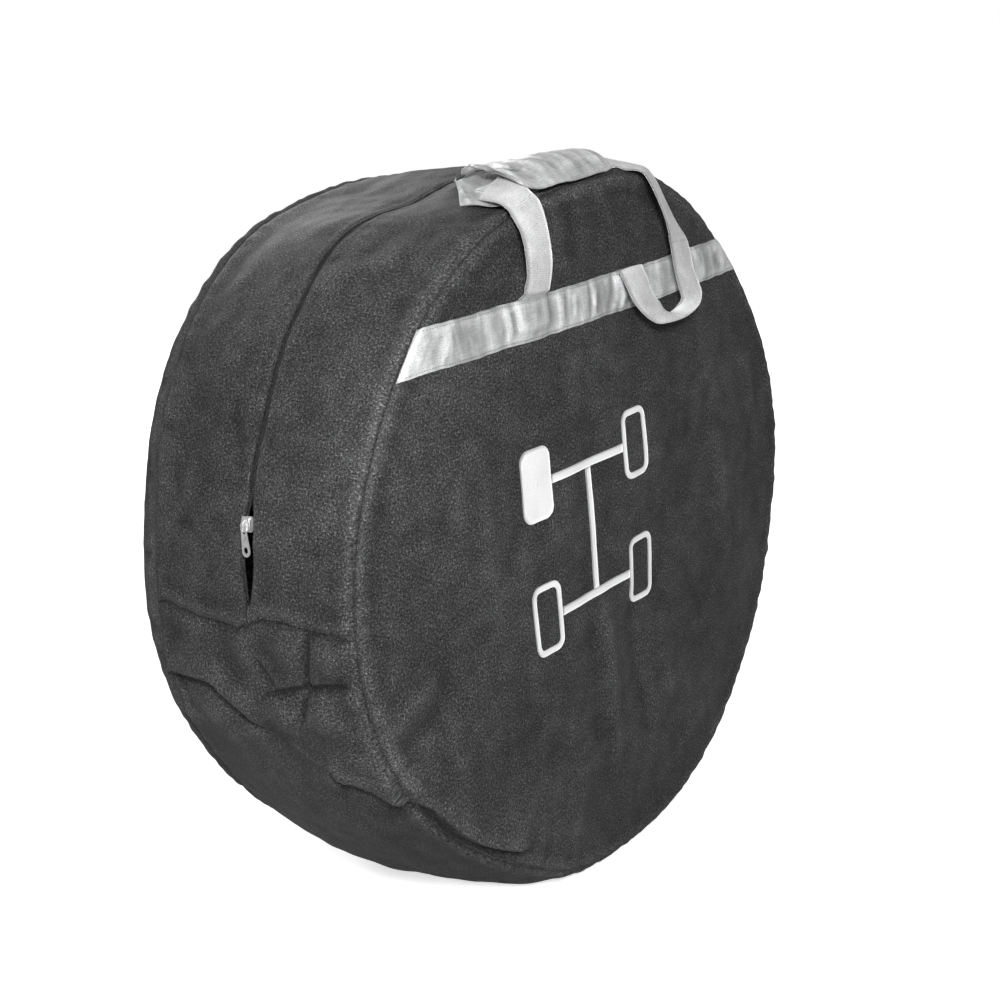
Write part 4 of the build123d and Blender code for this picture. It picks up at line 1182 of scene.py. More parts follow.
def make_band(name, fn, sgn, seed, node, stitch_node, limit, ends):
    nu, nv = (300, 17) if FINE else (190, 13)
    z = np.linspace(544, 580, nv)[None, :] + np.zeros((nu, 1))
    zz = z[0]
    ang = np.arcsin(np.clip((zz - 342) / limit, -1, 1))
    xe = limit * np.cos(ang)
    s = np.linspace(-1, 1, nu)[:, None]
    x = s * xe[None, :]
    wob = 1.1 * fbm(np.stack([x, 0 * x, 0 * x], -1), 60, 1, seed + 5) + 0.5 * fbm(np.stack([x, 0 * x, z * 0], -1), 14, 1, seed + 6)
    z = z + wob
    inner = smooth(np.abs(s) * -1, -1, -0.965)
    dn = band_rise(x, z, seed)
    edge = np.minimum(z - wob - 544, 580 - (z - wob))
    held = smooth(edge, 0.5, 5.0)                       # stitched down near both edges
    under = 0 * x
    for x0, x1 in ends:
        under = np.maximum(under, smooth(x, x0 - 5, x0 + 1) * (1 - smooth(x, x1 - 1, x1 + 5)) * smooth(z, 550, 558))
    P, N = fn(x, z, 0.0)
    P = P + N * (1.0 + 1.7 * under + 0.9 * inner * held + np.maximum(dn, -0.7) * (0.25 + 0.75 * held) * inner)[..., None]
    V, Q4, UV = shell(P, true_normals(P, N), 0.55, np.stack([x, z], -1))
    # painted highlights (positive amounts) and painted shade (negative amounts) on the satin band, added to the shading
    # channel
    painted_highlight_shade_streaks = np.zeros_like(x)
    for x0, lean, width, amount in ((-228, 0.5, 15, 0.6), (-204, 0.5, 6, 0.45), (-131, 0.05, 4, 0.4), (-60, 0.0, 7, 0.45), (-84, 0.05, 14, -0.2), (-168, 0.1, 16, -0.2),
                                    (6, 0.2, 10, -0.25), (98, 0.0, 22, 0.25), (176, -0.4, 8, 0.35), (232, -0.5, 8, 0.5)):
        painted_highlight_shade_streaks += amount * gauss(x - x0 - (z - 562) * lean + 2.0 * fbm(np.stack([x, 0 * x, z], -1), 18, 1, seed + 9), width)
    UV[:, 2] = np.clip(UV[:, 2] + np.concatenate([painted_highlight_shade_streaks.ravel()] * 2), 0, 1.25)
    ob = make_object(name, V, Q4, UV, M_SATIN)
    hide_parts(node)
    lines, normals = [], []
    xs = np.linspace(0.012, 0.988, 380)
    for row in (2.4, 33.6):
        c = np.stack([np.stack([np.interp(xs, np.linspace(0, 1, nu), np.array([np.interp(row, zz - 544, P[i, :, k]) for i in range(nu)])) for k in range(3)], -1)], 0)[0]
        m = np.stack([np.interp(xs, np.linspace(0, 1, nu), np.array([np.interp(row, zz - 544, true_normals(P, N)[i, :, k]) for i in range(nu)])) for k in range(3)], -1) if False else np.repeat(N[nu // 2, nv // 2][None], len(xs), 0)
        lines.append(c); normals.append(m)
    st = stitches(name.replace("cloth", "stitches"), lines, normals, M_THREAD, 3.1, 2.2, 0.25, 0.16, 0.35, seed=int(seed))
    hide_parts(stitch_node)
    return ob, st


ob, st = make_band("front_band_cloth", face_point, -1, 91.0, "front_band", "front_band_stitching", 333.0, [(-119, -80), (28, 69)])
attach(ob, "front_flap"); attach(st, "front_flap")
ob, st = make_band("back_band_cloth", back_at, 1, 97.0, "back_band", "back_band_stitching", 322.0, [(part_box("back_handle_webbing")[0].x * 1000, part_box("back_handle_webbing")[0].x * 1000 + 40), (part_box("back_handle_webbing")[1].x * 1000 - 40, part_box("back_handle_webbing")[1].x * 1000)])
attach(ob, "bag_base"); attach(st, "bag_base")

# ---------------------------------------------------------------------------
# The plain print: two wheels, a body bar, joined bars
# ---------------------------------------------------------------------------
PX, PZ = -39.0, 358.0


def rounded(w, h, r, n):
    """Points round a rounded rectangle."""
    a = np.linspace(0, 2 * np.pi, n, endpoint=False)
    c, s = np.cos(a), np.sin(a)
    x, z = np.sign(c) * (w / 2 - r), np.sign(s) * (h / 2 - r)
    k = 6.0
    u = np.sign(c) * np.abs(c) ** (2 / k) * w / 2
    v = np.sign(s) * np.abs(s) ** (2 / k) * h / 2
    t = np.linspace(0, 1, n, endpoint=False)
    pts = []
    per_side = n // 4
    corners = [(w / 2 - r, h / 2 - r, 0), (-(w / 2 - r), h / 2 - r, 90), (-(w / 2 - r), -(h / 2 - r), 180), (w / 2 - r, -(h / 2 - r), 270)]
    line = []
    for cx, cz, a0 in corners:
        for a in np.linspace(a0, a0 + 90, 9):
            line.append((cx + r * math.cos(math.radians(a)), cz + r * math.sin(math.radians(a))))
    line = np.array(line + [line[0]])
    seg = np.r_[0, np.cumsum(np.hypot(*(line[1:] - line[:-1]).T))]
    at = t * seg[-1]
    return np.stack([np.interp(at, seg, line[:, 0]), np.interp(at, seg, line[:, 1])], -1)


V_all, Q_all, UV_all, start = [], [], [], 0


def add_print(X, Z, wrap=False):
    global start
    P, N = face_point(X + PX, Z + PZ, 0.35)
    rag = 0.0
    V, Q, UV = shell(P, true_normals(P, N), 0.55, np.stack([X, Z], -1), wrap)
    V_all.append(V); Q_all.append(Q + start); UV_all.append(UV); start += len(V)


def add_bar(x0, x1, z0, z1):
    nx, nz = max(4, int((x1 - x0) / 3)), max(4, int((z1 - z0) / 3))
    X, Z = np.meshgrid(np.linspace(x0, x1, nx), np.linspace(z0, z1, nz), indexing="ij")
    add_print(X, Z)


def add_ring(cx, cz, w, h, r, stroke):
    o, i = rounded(w, h, r, 72), rounded(w - 2 * stroke, h - 2 * stroke, max(r - stroke, 1), 72)
    k = np.linspace(0, 1, 5)[None, :, None]
    G = o[:, None, :] * (1 - k) + i[:, None, :] * k
    add_print(G[..., 0] + cx, G[..., 1] + cz, True)


def add_block(cx, cz, w, h, r):
    o = rounded(w, h, r, 72)
    k = np.linspace(0, 0.999, 10)[None, :, None]
    G = o[:, None, :] * (1 - k)
    add_print(G[..., 0] + cx, G[..., 1] + cz, True)


for cx in (-75, 75):
    for cz in (-62, 62):
        if (cx, cz) == (-75, 62):
            add_block(cx, cz, 40, 66, 11)
        else:
            add_ring(cx, cz, 40, 66, 11, 6)
for cz in (-62, 62):
    add_bar(-55, 55, cz - 4, cz + 4)
add_bar(-4, 4, -58, 58)
ob = make_object("front_print", np.concatenate(V_all), np.concatenate(Q_all), np.concatenate(UV_all), M_PRINT)
fold_blend(ob)
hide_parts("front_print_upper", "front_print_lower")


# ---------------------------------------------------------------------------
# Front handle: webbing laid out between its two edges
# ---------------------------------------------------------------------------
def read_curve(pts, s):
    """Smooth curve through points at even parameters s, 0 to 1."""
    p = np.array(pts, float)
    p = np.vstack([2 * p[0] - p[1], p, 2 * p[-1] - p[-2]])
    t = np.clip(s, 0, 1) * (len(p) - 3)
    i = np.minimum(np.floor(t).astype(int), len(p) - 4)
    f = (t - i)[:, None]
    a, b, c, d = p[i], p[i + 1], p[i + 2], p[i + 3]
    return 0.5 * (2 * b + (c - a) * f + (2 * a - 5 * b + 4 * c - d) * f ** 2 + (-a + 3 * b - 3 * c + d) * f ** 3)


def ribbon_grid(E1, E2, n=120, m=9, bow=0.0, sway=0.5, seed=3.0, sew=False):
    """Webbing between two edge curves, as a grid of its middle surface."""
    s = np.linspace(0, 1, n)
    a, b = read_curve(E1, s), read_curve(E2, s)
    w = np.linspace(0, 1, m)[None, :, None]
    P = a[:, None, :] * (1 - w) + b[:, None, :] * w
    N = axes_of(P)
    L = np.r_[0, np.cumsum(np.linalg.norm(np.diff((a + b) / 2, axis=0), axis=1))]
    U = L[:, None] + 0 * w[..., 0]
    W = np.linalg.norm(b - a, axis=1)[:, None] * (w[..., 0] - 0.5)
    Q = np.stack([U, 0 * U, W], -1)
    P = P + N * (bow * (1 - (2 * w - 1) ** 2) + sway * fbm(Q, 30, 2, seed)[..., None])
    on_face, _ = face_point(P[..., 0], P[..., 2], 0.95)          # the sewn foot lies on the face, under the band
    foot = (1 - smooth(P[..., 2], 581, 590)) * (smooth(s, 0.8, 0.93)[:, None] if sew else 0)
    P = P * (1 - foot[..., None]) + on_face * foot[..., None]
    return P, U, W


def webbing_mesh(P, U, W, thick=1.5):
    """A woven strap with full selvedges: thick in the middle, rounded off at both edges."""
    N = axes_of(P)
    m = P.shape[1]
    half = thick / 2 * np.sqrt(np.clip(1 - np.abs(np.linspace(-1, 1, m)) ** 6, 0.12, 1))[None, :, None]
    top, low = P + N * half, P - N * half
    n = P.shape[0]
    V = np.concatenate([top.reshape(-1, 3), low.reshape(-1, 3)])
    c = n * m
    idx = np.arange(c).reshape(n, m)
    quads = [grid_quads(n, m), grid_quads(n, m, start=c, flip=True)]
    for line, turn in ((idx[:, 0], True), (idx[:, -1], False), (idx[0, :], False), (idx[-1, :], True)):
        q = np.stack([line[:-1], line[1:], line[1:] + c, line[:-1] + c], -1)
        quads.append(q if turn else q[:, ::-1])
    UV = np.stack([U, W], -1)
    return V, np.concatenate(quads), np.concatenate([UV.reshape(-1, 2)] * 2)


def straps(name, parts, material):
    Vs, Qs, UVs, k = [], [], [], 0
    for P, U, W in parts:
        V, Q, UV = webbing_mesh(P, U, W)
        Vs.append(V); Qs.append(Q + k); UVs.append(UV); k += len(V)
    return make_object(name, np.concatenate(Vs), np.concatenate(Qs), np.concatenate(UVs), material)


# left leg: out of the sleeve, a turned fold, over the rim and down behind the band
LEFT_L = [(-102, -99, 663), (-106, -114, 662), (-109, -127, 660), (-110, -136, 655), (-111, -141, 649), (-113, -149, 638), (-115, -154, 623),
          (-116, -155, 603), (-117, -152, 591), (-114, -149.2, 581), (-113, -146.9, 570)]
LEFT_R = [(-54, -88, 678), (-63, -106, 676), (-72, -124, 672), (-74, -134, 666), (-68, -138.5, 656), (-74, -148.5, 636), (-78, -154, 612),
          (-80, -153.5, 597), (-80, -150.8, 586), (-79, -148.8, 579), (-78, -146.6, 569)]
RIGHT_I = [(14, -116, 675), (42, -127, 672), (58, -131, 671), (70, -134, 667), (78, -140, 665), (78, -147, 663), (77, -154, 656), (82, -158, 641), (96, -158, 616),
           (103, -157, 596), (107, -156, 583)]
RIGHT_O = [(12, -78, 682), (40, -88, 686), (62, -93, 684), (88, -102, 676), (108, -115, 669), (117, -125, 664), (116, -134, 656), (119, -140, 642), (133, -144, 614),
           (148, -147, 593), (152, -149, 577)]
LOOP_I = [(103, -157, 596), (107, -156, 583), (112, -155, 568), (116, -156, 550), (119, -156, 541), (117, -152, 534), (109, -148.5, 529), (100, -148, 534), (91, -149.5, 542),
          (81, -151, 550), (74, -151, 561), (70, -151.5, 569), (66, -150.3, 578), (66, -148.2, 581.5), (66.5, -146.8, 578), (68, -146.3, 569)]
LOOP_O = [(148, -147, 593), (152, -149, 577), (154, -150, 562), (159, -152, 549), (155, -157, 539), (140, -162, 530), (114, -164.5, 525), (84, -165, 525), (63, -163, 528),
          (46, -160, 540), (35, -157, 554), (31, -154, 566), (28, -150.8, 577), (29, -148.4, 580.5), (29.5, -147, 577), (31, -146.5, 568)]
grip_x = np.linspace(-84, 44, 60)
gA = np.degrees(np.arccos(np.clip(grip_x / 334, -1, 1)))
gP, gN = tread_point(gA[:, None], gusset_t(gA[:, None], np.linspace(-118, -78, 7)[None, :]), 6.0)
gU = grip_x[:, None] + 0 * np.linspace(-20, 20, 7)[None, :]
ob = straps("front_handle_strap", [ribbon_grid(LEFT_L, LEFT_R, 130, 9, 0.8, 0.5, 3.0, True), ribbon_grid(RIGHT_I, RIGHT_O, 110, 9, 0.6, 0.4, 5.0),
                                   (gP, gU, gU * 0 + np.linspace(-20, 20, 7)[None, :])], M_WEB)
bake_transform(ob)
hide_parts("front_handle_webbing")
P, U, W = ribbon_grid(LOOP_I, LOOP_O, 150, 9, 0.5, 0.35, 7.0)
fold_over = smooth(np.linspace(0, 1, 150), 0.95, 0.995)[:, None]
back_in, _ = face_point(P[..., 0], P[..., 2], 0.95)
P = P * (1 - fold_over[..., None]) + back_in * fold_over[..., None]
ob = straps("front_handle_loose_loop", [(P, U, W)], M_WEB)
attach(ob, "front_flap")
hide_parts("front_handle_slack")


def tuck(name, fn, spans, z0, z1, body, node, lift=0.75):
    """The sewn ends of the webbing, under the band."""
    parts = []
    for x0, x1 in spans:
        Z, X = np.meshgrid(np.linspace(z0, z1, 14), np.linspace(x0, x1, 9), indexing="ij")
        P, N = fn(X, Z, lift)
        parts.append((P, Z, X - (x0 + x1) / 2))
    ob = straps(name, parts, M_WEB)
    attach(ob, body)
    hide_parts(node)
    return ob


tuck("front_strap_ends", face_point, [(-117, -82), (30, 67)], 556, 580.5, "front_flap", "front_webbing_ends")

# sleeve: two layers of satin round the webbing, open and crushed at the left end
n_s, m_s = (150, 60) if FINE else (90, 36)
s = np.linspace(0, 1, n_s)
v = np.linspace(0, 1, m_s)[None, :, None]
F = read_curve([(-66, -90, 680), (-72, -108, 676), (-77, -128, 669), (-62, -136, 664), (-40, -137.5, 664), (-16, -137.5, 665), (10, -136.5, 666), (34, -135, 666), (52, -132, 667)], s)
B = read_curve([(-70, -57, 684), (-66, -53, 679), (-56, -50, 678), (-40, -52, 678.5), (-20, -56, 679), (0, -60, 679), (18, -62, 679), (38, -64, 678), (56, -66, 677)], s)
H = np.interp(s, [0, 0.12, 0.3, 0.55, 0.8, 1], [5, 7.5, 12, 16, 17.5, 15])
P = F[:, None, :] * (1 - v) + B[:, None, :] * v
S2 = np.linspace(0, 165, n_s)[:, None] + 0 * v[..., 0]
V2 = (v[..., 0] * 72) + 0 * S2
Q = np.stack([S2, 0 * S2, V2], -1)
up = np.array([0.0, -0.25, 1.0])
crown = (np.sin(np.pi * np.clip(v[..., 0] * 0.93 + 0.04, 0, 1)) ** 0.8) * H[:, None]
rough = 1.25 * fbm(Q, 30, 2, 111.0, (1, 1, 1.7)) + 1.5 * np.maximum(creased(Q, 44, 112.0, (1, 1, 1.8)), 0) + 0.5 * fbm(Q, 10, 2, 113.0)
more = 1.2 - 0.5 * smooth(s, 0.25, 0.6)[:, None]
for pts, amp, width in (([(4, 60), (30, 50), (60, 30)], 3.0, 4.5), ([(20, 68), (44, 60), (72, 48)], -2.2, 4.0), ([(12, 30), (40, 36), (66, 22)], -2.0, 3.4),
                        ([(60, 66), (74, 40), (82, 12)], 2.4, 5.0), ([(84, 62), (92, 36), (96, 10)], -1.8, 4.2), ([(104, 66), (112, 40), (114, 8)], 1.8, 5.0),
                        ([(128, 60), (134, 34), (133, 8)], -1.6, 4.2), ([(146, 66), (150, 40), (152, 8)], 1.6, 4.0), ([(100, 14), (130, 18), (160, 12)], 1.2, 4.0)):
    rough = rough + ridge(S2, V2, pts, amp, width, 0.15)
P = P + up * (crown + rough * more * smooth(crown, 0.0, 4.0))[..., None]
low_c = -0.6
parts = []
top_P = P
Vt, Qt, UVt = shell(top_P, true_normals(top_P, np.broadcast_to(up, top_P.shape)), 0.6, np.stack([S2, V2], -1))
# lower layer, spread out to the left
F2 = read_curve([(-110, -85, 659), (-108, -100, 659.5), (-104, -116, 658), (-86, -130, 659), (-54, -128, 662.5), (-16, -127, 665), (10, -126, 666), (34, -124, 667), (50, -122, 668)], s)
B2 = read_curve([(-76, -55, 679), (-72, -50, 675), (-60, -48, 676), (-42, -51, 677.5), (-20, -55, 678), (0, -59, 678), (18, -61, 678), (38, -63, 677), (56, -65, 676)], s)
P2 = F2[:, None, :] * (1 - v) + B2[:, None, :] * v
rough2 = 1.4 * fbm(Q, 30, 2, 121.0) + 1.6 * np.maximum(creased(Q, 34, 122.0), 0)
flare = 1 - smooth(s, 0.1, 0.35)[:, None]
P2 = P2 + up * ((1.2 + rough2 * flare) * np.sin(np.pi * v[..., 0]) ** 0.5 * (0.2 + 0.8 * flare))[..., None]
Vb, Qb, UVb = shell(P2, true_normals(P2, np.broadcast_to(up, P2.shape)), 0.6, np.stack([S2, V2 + 90], -1))
ob = make_object("front_grip_satin_sleeve", np.concatenate([Vt, Vb]), np.concatenate([Qt, Qb + len(Vt)]), np.concatenate([UVt, UVb]), M_SATIN)
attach(ob, "front_handle")
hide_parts("front_grip_sleeve")

# ---------------------------------------------------------------------------
# Back handle, hanging against the back
# ---------------------------------------------------------------------------
wb_lo, wb_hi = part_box("back_handle_webbing")
sb_lo, sb_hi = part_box("back_grip_sleeve")
we_lo, we_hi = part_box("back_webbing_ends")
bx0, bx1 = wb_lo.x * 1000, wb_hi.x * 1000
gz0, gz1 = 452.0, 492.0
STRAP = 40.0


def back_face(X, Z, lift):
    P, N = back_at(X, Z, 0.0)
    return P + np.array([0, 1.0, 0]) * np.asarray(lift)[..., None], N


def hanging(inner, outer):
    """A strap against the back, between two lines of (x, z, stand-off)."""
    s = np.linspace(0, 1, 130)
    a, b = read_curve(inner, s), read_curve(outer, s)
    w = np.linspace(0, 1, 9)[None, :, None]
    G = a[:, None, :] * (1 - w) + b[:, None, :] * w
    P, N = back_at(G[..., 0], G[..., 1], 0.0)
    P = P + np.array([0, 1.0, 0]) * G[..., 2:3]
    mid = (a + b) / 2
    L = np.r_[0, np.cumsum(np.linalg.norm(np.diff(mid[:, :2], axis=0), axis=1))]
    U = L[:, None] + 0 * w[..., 0]
    W = STRAP * (w[..., 0] - 0.5) + 0 * U
    Q = np.stack([U, 0 * U, W], -1)
    return P + np.array([0, 1.0, 0]) * (0.35 * fbm(Q, 30, 2, 131.0))[..., None], U, W


xl, xr = bx0, bx1
left = hanging([(xl + 40, 574, 1.0), (xl + 40, 582, 2.6), (xl + 41, 560, 3.6), (xl + 42, 520, 3.2), (xl + 43, 500, 3.0), (xl + 52, 493, 2.8), (xl + 74, 492, 2.6), (xl + 110, 492, 2.6)],
               [(xl, 574, 1.0), (xl, 582, 2.6), (xl + 1, 560, 3.6), (xl + 1, 510, 3.2), (xl + 3, 474, 3.0), (xl + 16, 458, 2.8), (xl + 52, 452.5, 2.6), (xl + 110, 452, 2.6)])
right_ = hanging([(xr - 40, 574, 1.0), (xr - 40, 582, 2.6), (xr - 41, 560, 3.6), (xr - 42, 520, 3.2), (xr - 43, 500, 3.0), (xr - 52, 493, 2.8), (xr - 74, 492, 2.6), (xr - 110, 492, 2.6)],
                 [(xr, 574, 1.0), (xr, 582, 2.6), (xr - 1, 560, 3.6), (xr - 1, 510, 3.2), (xr - 3, 474, 3.0), (xr - 16, 458, 2.8), (xr - 52, 452.5, 2.6), (xr - 110, 452, 2.6)])
ob = straps("back_handle_strap", [left, right_], M_WEB)
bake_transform(ob)
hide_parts("back_handle_webbing")
tuck("back_strap_ends", back_at, [(xl, xl + 40), (xr - 40, xr)], 556, 580.5, "bag_base", "back_webbing_ends")

s = np.linspace(0, 1, n_s)[:, None]
ph = np.linspace(0, 1, m_s)[None, :]
X = (sb_lo.x + (sb_hi.x - sb_lo.x) * s) * 1000 + 0 * ph
X = X + 1.6 * fbm(np.stack([0 * ph + 0 * s, 0 * X, ph * 60 + 0 * s], -1), 16, 1, 141.0) * smooth(np.abs(s - 0.5), 0.42, 0.5)
Zc, hw = 472.0, 28.0
Z = Zc + (ph - 0.5) * 2 * (hw + 1.2 * fbm(np.stack([X, 0 * X, 0 * X], -1), 26, 2, 142.0))
Q = np.stack([X, 0 * X, Z], -1)
crown = 4.2 * np.sin(np.pi * np.clip(ph, 0.0, 1)) ** 0.55
rough = 0.9 * fbm(Q, 26, 2, 143.0, (1, 1, 1.8)) + 1.1 * np.maximum(creased(Q, 36, 144.0, (1, 1, 1.8)), 0)
P, N = back_at(X, Z, 0.0)
P = P + np.array([0, 1.0, 0]) * (1.0 + crown + rough * smooth(crown, 0, 2.5))[..., None]
Vt, Qt, UVt = shell(P, true_normals(P, np.broadcast_to(np.array([0, 1.0, 0]), P.shape)), 0.6, np.stack([X, Z], -1))
P2, N2 = back_at(X, Z, 0.0)
P2 = P2 + np.array([0, 1.0, 0]) * (0.9 + 0 * crown)[..., None]
Vb, Qb, UVb = shell(P2, true_normals(P2, np.broadcast_to(np.array([0, 1.0, 0]), P2.shape)), 0.6, np.stack([X, Z + 90], -1))
ob = make_object("back_grip_satin_sleeve", np.concatenate([Vt, Vb]), np.concatenate([Qt, Qb + len(Vt)]), np.concatenate([UVt, UVb]), M_SATIN)
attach(ob, "back_handle")
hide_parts("back_grip_sleeve")

# ---------------------------------------------------------------------------
# Slider and pull tab
# ---------------------------------------------------------------------------
SL = 164.3
ex = np.array([-math.sin(math.radians(SL)), 0, math.cos(math.radians(SL))])
ez = np.array([math.cos(math.radians(SL)), 0, math.sin(math.radians(SL))])
ey = np.cross(ez, ex)
O = np.array([0, ZIP_Y, AXIS_Z * 1000])


def plate(outline, r0, r1, holes=(), bevel=0.35):
    """A flat metal piece: outline in the slider's own x and y, between two radii, edges eased."""
    bm = bmesh.new()
    pts = [O + ex * x + ey * y + ez * r0 for x, y in outline]
    face = bm.faces.new([bm.verts.new(Vector(p) / 1000) for p in pts])
    r = bmesh.ops.extrude_face_region(bm, geom=[face])
    bmesh.ops.translate(bm, vec=Vector(ez) * (r1 - r0) / 1000, verts=[g for g in r["geom"] if isinstance(g, bmesh.types.BMVert)])
    bmesh.ops.recalc_face_normals(bm, faces=bm.faces)
    if bevel:
        bmesh.ops.bevel(bm, geom=bm.edges[:], offset=bevel / 1000, segments=2, profile=0.6, affect="EDGES", clamp_overlap=True)
    return bm


def finish_mesh(name, bms, material):
    me = bpy.data.meshes.new(name)
    out = bmesh.new()
    for b in bms:
        tmp = bpy.data.meshes.new("part")
        b.to_mesh(tmp); b.free()
        out.from_mesh(tmp)
        bpy.data.meshes.remove(tmp)
    bmesh.ops.recalc_face_normals(out, faces=out.faces)
    out.to_mesh(me); out.free()
    me.materials.append(material)
    for p in me.polygons:
        p.use_smooth = True
    me.set_sharp_from_angle(angle=math.radians(50))
    ob = bpy.data.objects.new(name, me)
    bpy.context.scene.collection.objects.link(ob)
    return ob


def arc(cx, cy, r, a0, a1, n):
    return [(cx + r * math.cos(math.radians(a)), cy + r * math.sin(math.radians(a))) for a in np.linspace(a0, a1, n)]


def slider_outline(k=1.0):
    return ([(-6.5, -3.4 * k), (-2.0, -4.5 * k), (2.5, -4.8 * k), (5.4, -4.4 * k)] + arc(4.9, -2.6 * k, 1.6, -50, 0, 4) + arc(4.9, 2.6 * k, 1.6, 0, 50, 4)
            + [(5.4, 4.4 * k), (2.5, 4.8 * k), (-2.0, 4.5 * k), (-6.5, 3.4 * k)])


import bmesh
parts = [plate(slider_outline(), 344.6, 345.9), plate(slider_outline(0.96), 349.5, 350.8)]
for y in (-4.2, 4.2):
    parts.append(plate([(-4.8, y - 0.45), (4.2, y - 0.55), (4.2, y + 0.55), (-4.8, y + 0.45)], 345.7, 347.1, bevel=0.2))
    parts.append(plate([(-4.8, y - 0.45), (4.2, y - 0.55), (4.2, y + 0.55), (-4.8, y + 0.45)], 348.5, 349.7, bevel=0.2))
parts.append(plate([(-5.2, -1.0), (-3.2, -1.4), (-3.2, 1.4), (-5.2, 1.0)], 345.5, 349.9, bevel=0.3))      # the wedge that parts the coils
# the bridge, an arch over the pull's bar
xs = np.linspace(-4.0, 4.5, 15)
top = 350.7 + 2.9 * np.sin(np.pi * (xs + 4.0) / 8.5) ** 0.5
bot = 350.6 + 1.7 * np.clip(np.sin(np.pi * np.clip((xs + 2.9) / 6.3, 0, 1)), 0, 1) ** 0.5
bm = bmesh.new()
rows = []
for x, t, b in zip(xs, top, bot):
    rows.append([bm.verts.new(Vector(O + ex * x + ey * y + ez * r) / 1000) for y, r in ((-1.1, b - 0.05), (-1.1, t - 0.35), (-0.7, t), (0.7, t), (1.1, t - 0.35), (1.1, b - 0.05))])
for a, b in zip(rows[:-1], rows[1:]):
    for k in range(6):
        bm.faces.new([a[k], a[(k + 1) % 6], b[(k + 1) % 6], b[k]])
bm.faces.new(rows[0]); bm.faces.new(rows[-1][::-1])
parts.append(bm)
ob = finish_mesh("zip_slider_metal", parts, M_METAL)
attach(ob, "zip_slider")
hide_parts("zip_slider_body")

# the tab: a tapered plate with a round hole, on two arms and a bar, leaning on the cloth
lean, sway = math.radians(8), math.radians(7)
pivot = O + ex * 1.5 + ez * 351.75
ex, ey = ex * math.cos(sway) + ey * math.sin(sway), ey * math.cos(sway) - ex * math.sin(sway)
ex, ez = ex * math.cos(lean) - ez * math.sin(lean), ez * math.cos(lean) + ex * math.sin(lean)
O = pivot - ex * 1.5 - ez * 351.75
outer = ([(8.0, 3.2), (12.0, 3.55), (18.0, 4.1)] + arc(22.6, 0, 4.4, 90, -90, 17) + [(18.0, -4.1), (12.0, -3.55), (8.0, -3.2)])
outer = np.array(outer)
ang = np.degrees(np.arctan2(outer[:, 1], outer[:, 0] - 21.4))
n_r = len(outer)


def tab_ring(scale, r):
    """Outline to hole, one ring of the tab."""
    return [(21.4 + (x - 21.4) * scale, y * scale) for x, y in outer]


bm = bmesh.new()
rings = []
for f, r in ((1.0, 351.45), (0.97, 351.2), (0.5, 351.15), (0.0, 351.15), (-0.02, 351.4), (-0.02, 352.1), (0.0, 352.35), (0.5, 352.35), (0.97, 352.3), (1.0, 352.05)):
    ring = []
    for x, y in outer:
        d = math.hypot(x - 21.4, y)
        hx, hy = 21.4 + (x - 21.4) / d * 2.7, y / d * 2.7
        k = f if f >= 0 else 0
        off = 0.0 if f >= 0 else -0.15
        px, py = hx + (x - hx) * k, hy + (y - hy) * k
        ring.append(bm.verts.new(Vector(O + ex * (px + off * 0) + ey * py + ez * r) / 1000))
    rings.append(ring)
for a, b in zip(rings, rings[1:] + rings[:1]):
    for k in range(n_r):
        bm.faces.new([a[k], a[(k + 1) % n_r], b[(k + 1) % n_r], b[k]])
parts = [bm]
for y in (-2.4, 2.4):
    parts.append(plate([(-0.6, y - 0.75), (9.1, y - 0.75), (9.1, y + 0.75), (-0.6, y + 0.75)], 351.2, 352.3, bevel=0.3))
path = np.array([O + ex * 1.5 + ey * y + ez * 351.75 for y in np.linspace(-3.2, 3.2, 6)])
V, Q = tube(path, 0.6, 12, ez)
bm = bmesh.new()
vs = [bm.verts.new(Vector(p) / 1000) for p in V]
for q in Q:
    bm.faces.new([vs[i] for i in q])
bm.faces.new(vs[:12][::-1]); bm.faces.new(vs[-12:])
parts.append(bm)
ob = finish_mesh("zip_pull_metal", parts, M_METAL)
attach(ob, "zip_pull")
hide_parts("zip_pull_tab")

# ---------------------------------------------------------------------------
# Floor, light and camera
# ---------------------------------------------------------------------------
import bmesh
bm = bmesh.new()
bmesh.ops.create_grid(bm, x_segments=8, y_segments=8, size=40.0)
me = bpy.data.meshes.new("floor")
bm.to_mesh(me)
bm.free()
floor = bpy.data.objects.new("floor", me)
floor.location = (0, 0, -0.0005)
bpy.context.scene.collection.objects.link(floor)
fl = Nodes("floor_paint")
seen = fl.ramp(fl.noise(fl.tc.outputs["Object"], 1.5, 3, 0.5), [(0.3, (0.90, 0.90, 0.90)), (0.7, (0.92, 0.92, 0.92))])
path_kind = fl.t.nodes.new("ShaderNodeLightPath")
mix = fl.t.nodes.new("ShaderNodeMix")
mix.data_type = "RGBA"
fl.link(path_kind.outputs["Is Camera Ray"], mix.inputs[0])
mix.inputs[6].default_value = (0.42, 0.42, 0.42, 1)      # what the floor throws back up on the bag
fl.link(seen, mix.inputs[7])
fl.link(mix.outputs[2], fl.bsdf.inputs["Base Color"])
fl.bsdf.inputs["Emission Color"].default_value = (1, 1, 1, 1)
fl.link(fl.mapr(path_kind.outputs["Is Camera Ray"], 0.0, 1.0, 0.0, 0.68), fl.bsdf.inputs["Emission Strength"])
fl.set(Roughness=0.85, Specular_IOR_Level=0.2)
me.materials.append(fl.mat)


def area(name, at, to, size, power, colour=(1, 1, 1)):
    data = bpy.data.lights.new(name, "AREA")
    data.shape = "DISK"
    data.size = size
    data.energy = power
    data.color = colour
    ob = bpy.data.objects.new(name, data)
    ob.location = at
    ob.rotation_mode = "QUATERNION"
    ob.rotation_quaternion = (Vector(to) - Vector(at)).to_track_quat("-Z", "Y")
    bpy.context.scene.collection.objects.link(ob)
    return ob


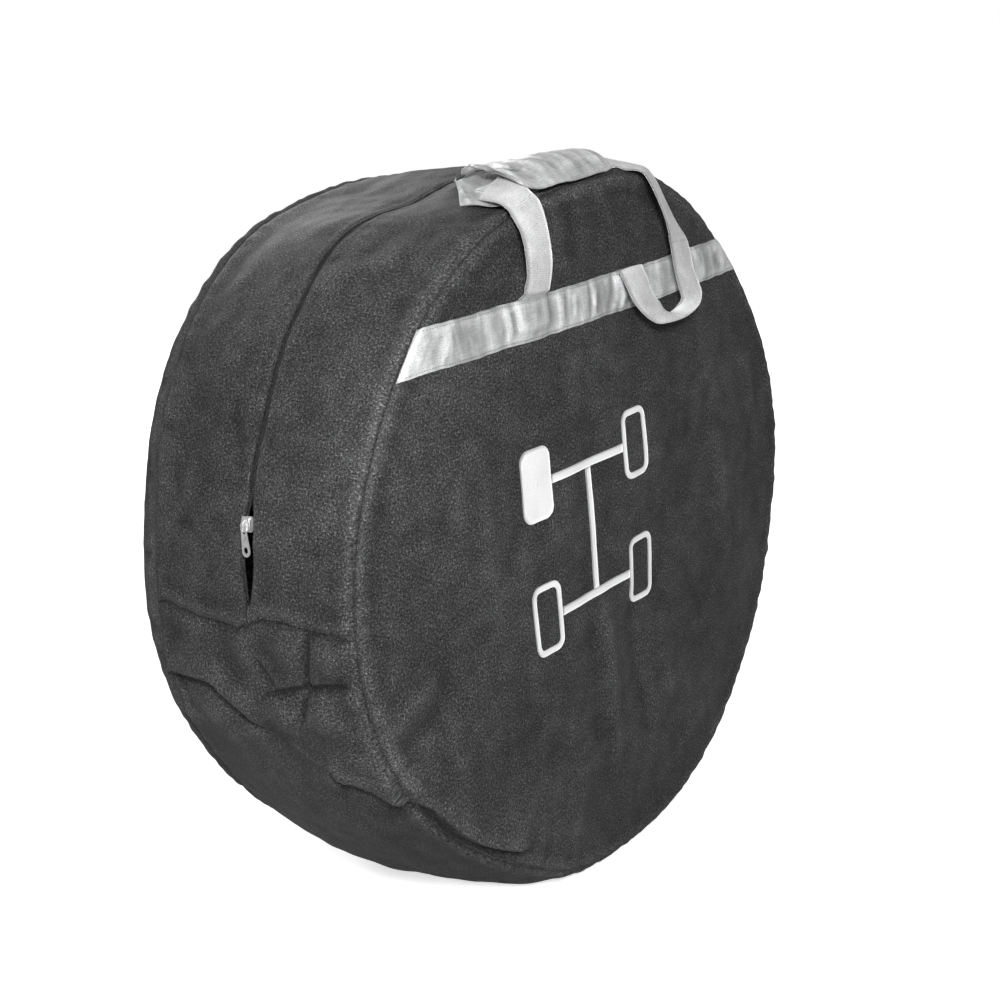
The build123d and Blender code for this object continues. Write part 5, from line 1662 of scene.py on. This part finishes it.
area("key", (-1.35, -1.3, 1.25), (-0.12, -0.1, 0.36), 0.35, 40)
area("front_fill", (0.6, -3.0, 1.4), (0, -0.1, 0.35), 2.2, 2.0)
area("back_fill", (1.4, 2.8, 1.8), (0, 0.1, 0.35), 2.4, 46)
sun_data = bpy.data.lights.new("overhead", "SUN")
sun_data.energy = 0.7
sun_data.angle = math.radians(24)
sun = bpy.data.objects.new("overhead", sun_data)
sun.rotation_mode = "QUATERNION"
sun.rotation_quaternion = Vector((-0.5, -0.2, 0.84)).to_track_quat("Z", "Y")
bpy.context.scene.collection.objects.link(sun)

world = bpy.data.worlds.new("studio")
world.use_nodes = True
wt = world.node_tree
bg = wt.nodes["Background"]
bg.inputs[0].default_value = (1, 1, 1, 1)
lp = wt.nodes.new("ShaderNodeLightPath")
mr = wt.nodes.new("ShaderNodeMapRange")
for k, v in zip((1, 2, 3, 4), (0.0, 1.0, 0.20, 1.0)):
    mr.inputs[k].default_value = v
wt.links.new(lp.outputs["Is Camera Ray"], mr.inputs[0])
wt.links.new(mr.outputs[0], bg.inputs[1])
bpy.context.scene.world = world
bpy.context.scene.view_settings.view_transform = "Standard"

az, el, roll = math.radians(-50.353), math.radians(17.182), math.radians(5.3095)
back_dir = Vector((math.sin(az) * math.cos(el), -math.cos(az) * math.cos(el), math.sin(el)))
right = Vector((math.cos(az), math.sin(az), 0))
up = back_dir.cross(right).normalized()
r2 = right * math.cos(roll) - up * math.sin(roll)
u2 = right * math.sin(roll) + up * math.cos(roll)
cam_data = bpy.data.cameras.new("camera")
cam_data.sensor_width = 36.0
cam_data.lens = 55.11
cam_data.shift_x = 0.006
cam_data.shift_y = 0.014
cam_data.clip_start, cam_data.clip_end = 0.05, 60
cam = bpy.data.objects.new("camera", cam_data)
from mathutils import Matrix
m = Matrix((r2, u2, back_dir)).transposed().to_4x4()
m.translation = Vector((0, 0, 0.342)) + back_dir * 1.5196
cam.matrix_world = m
bpy.context.scene.collection.objects.link(cam)
bpy.context.scene.camera = cam

bpy.context.view_layer.update()
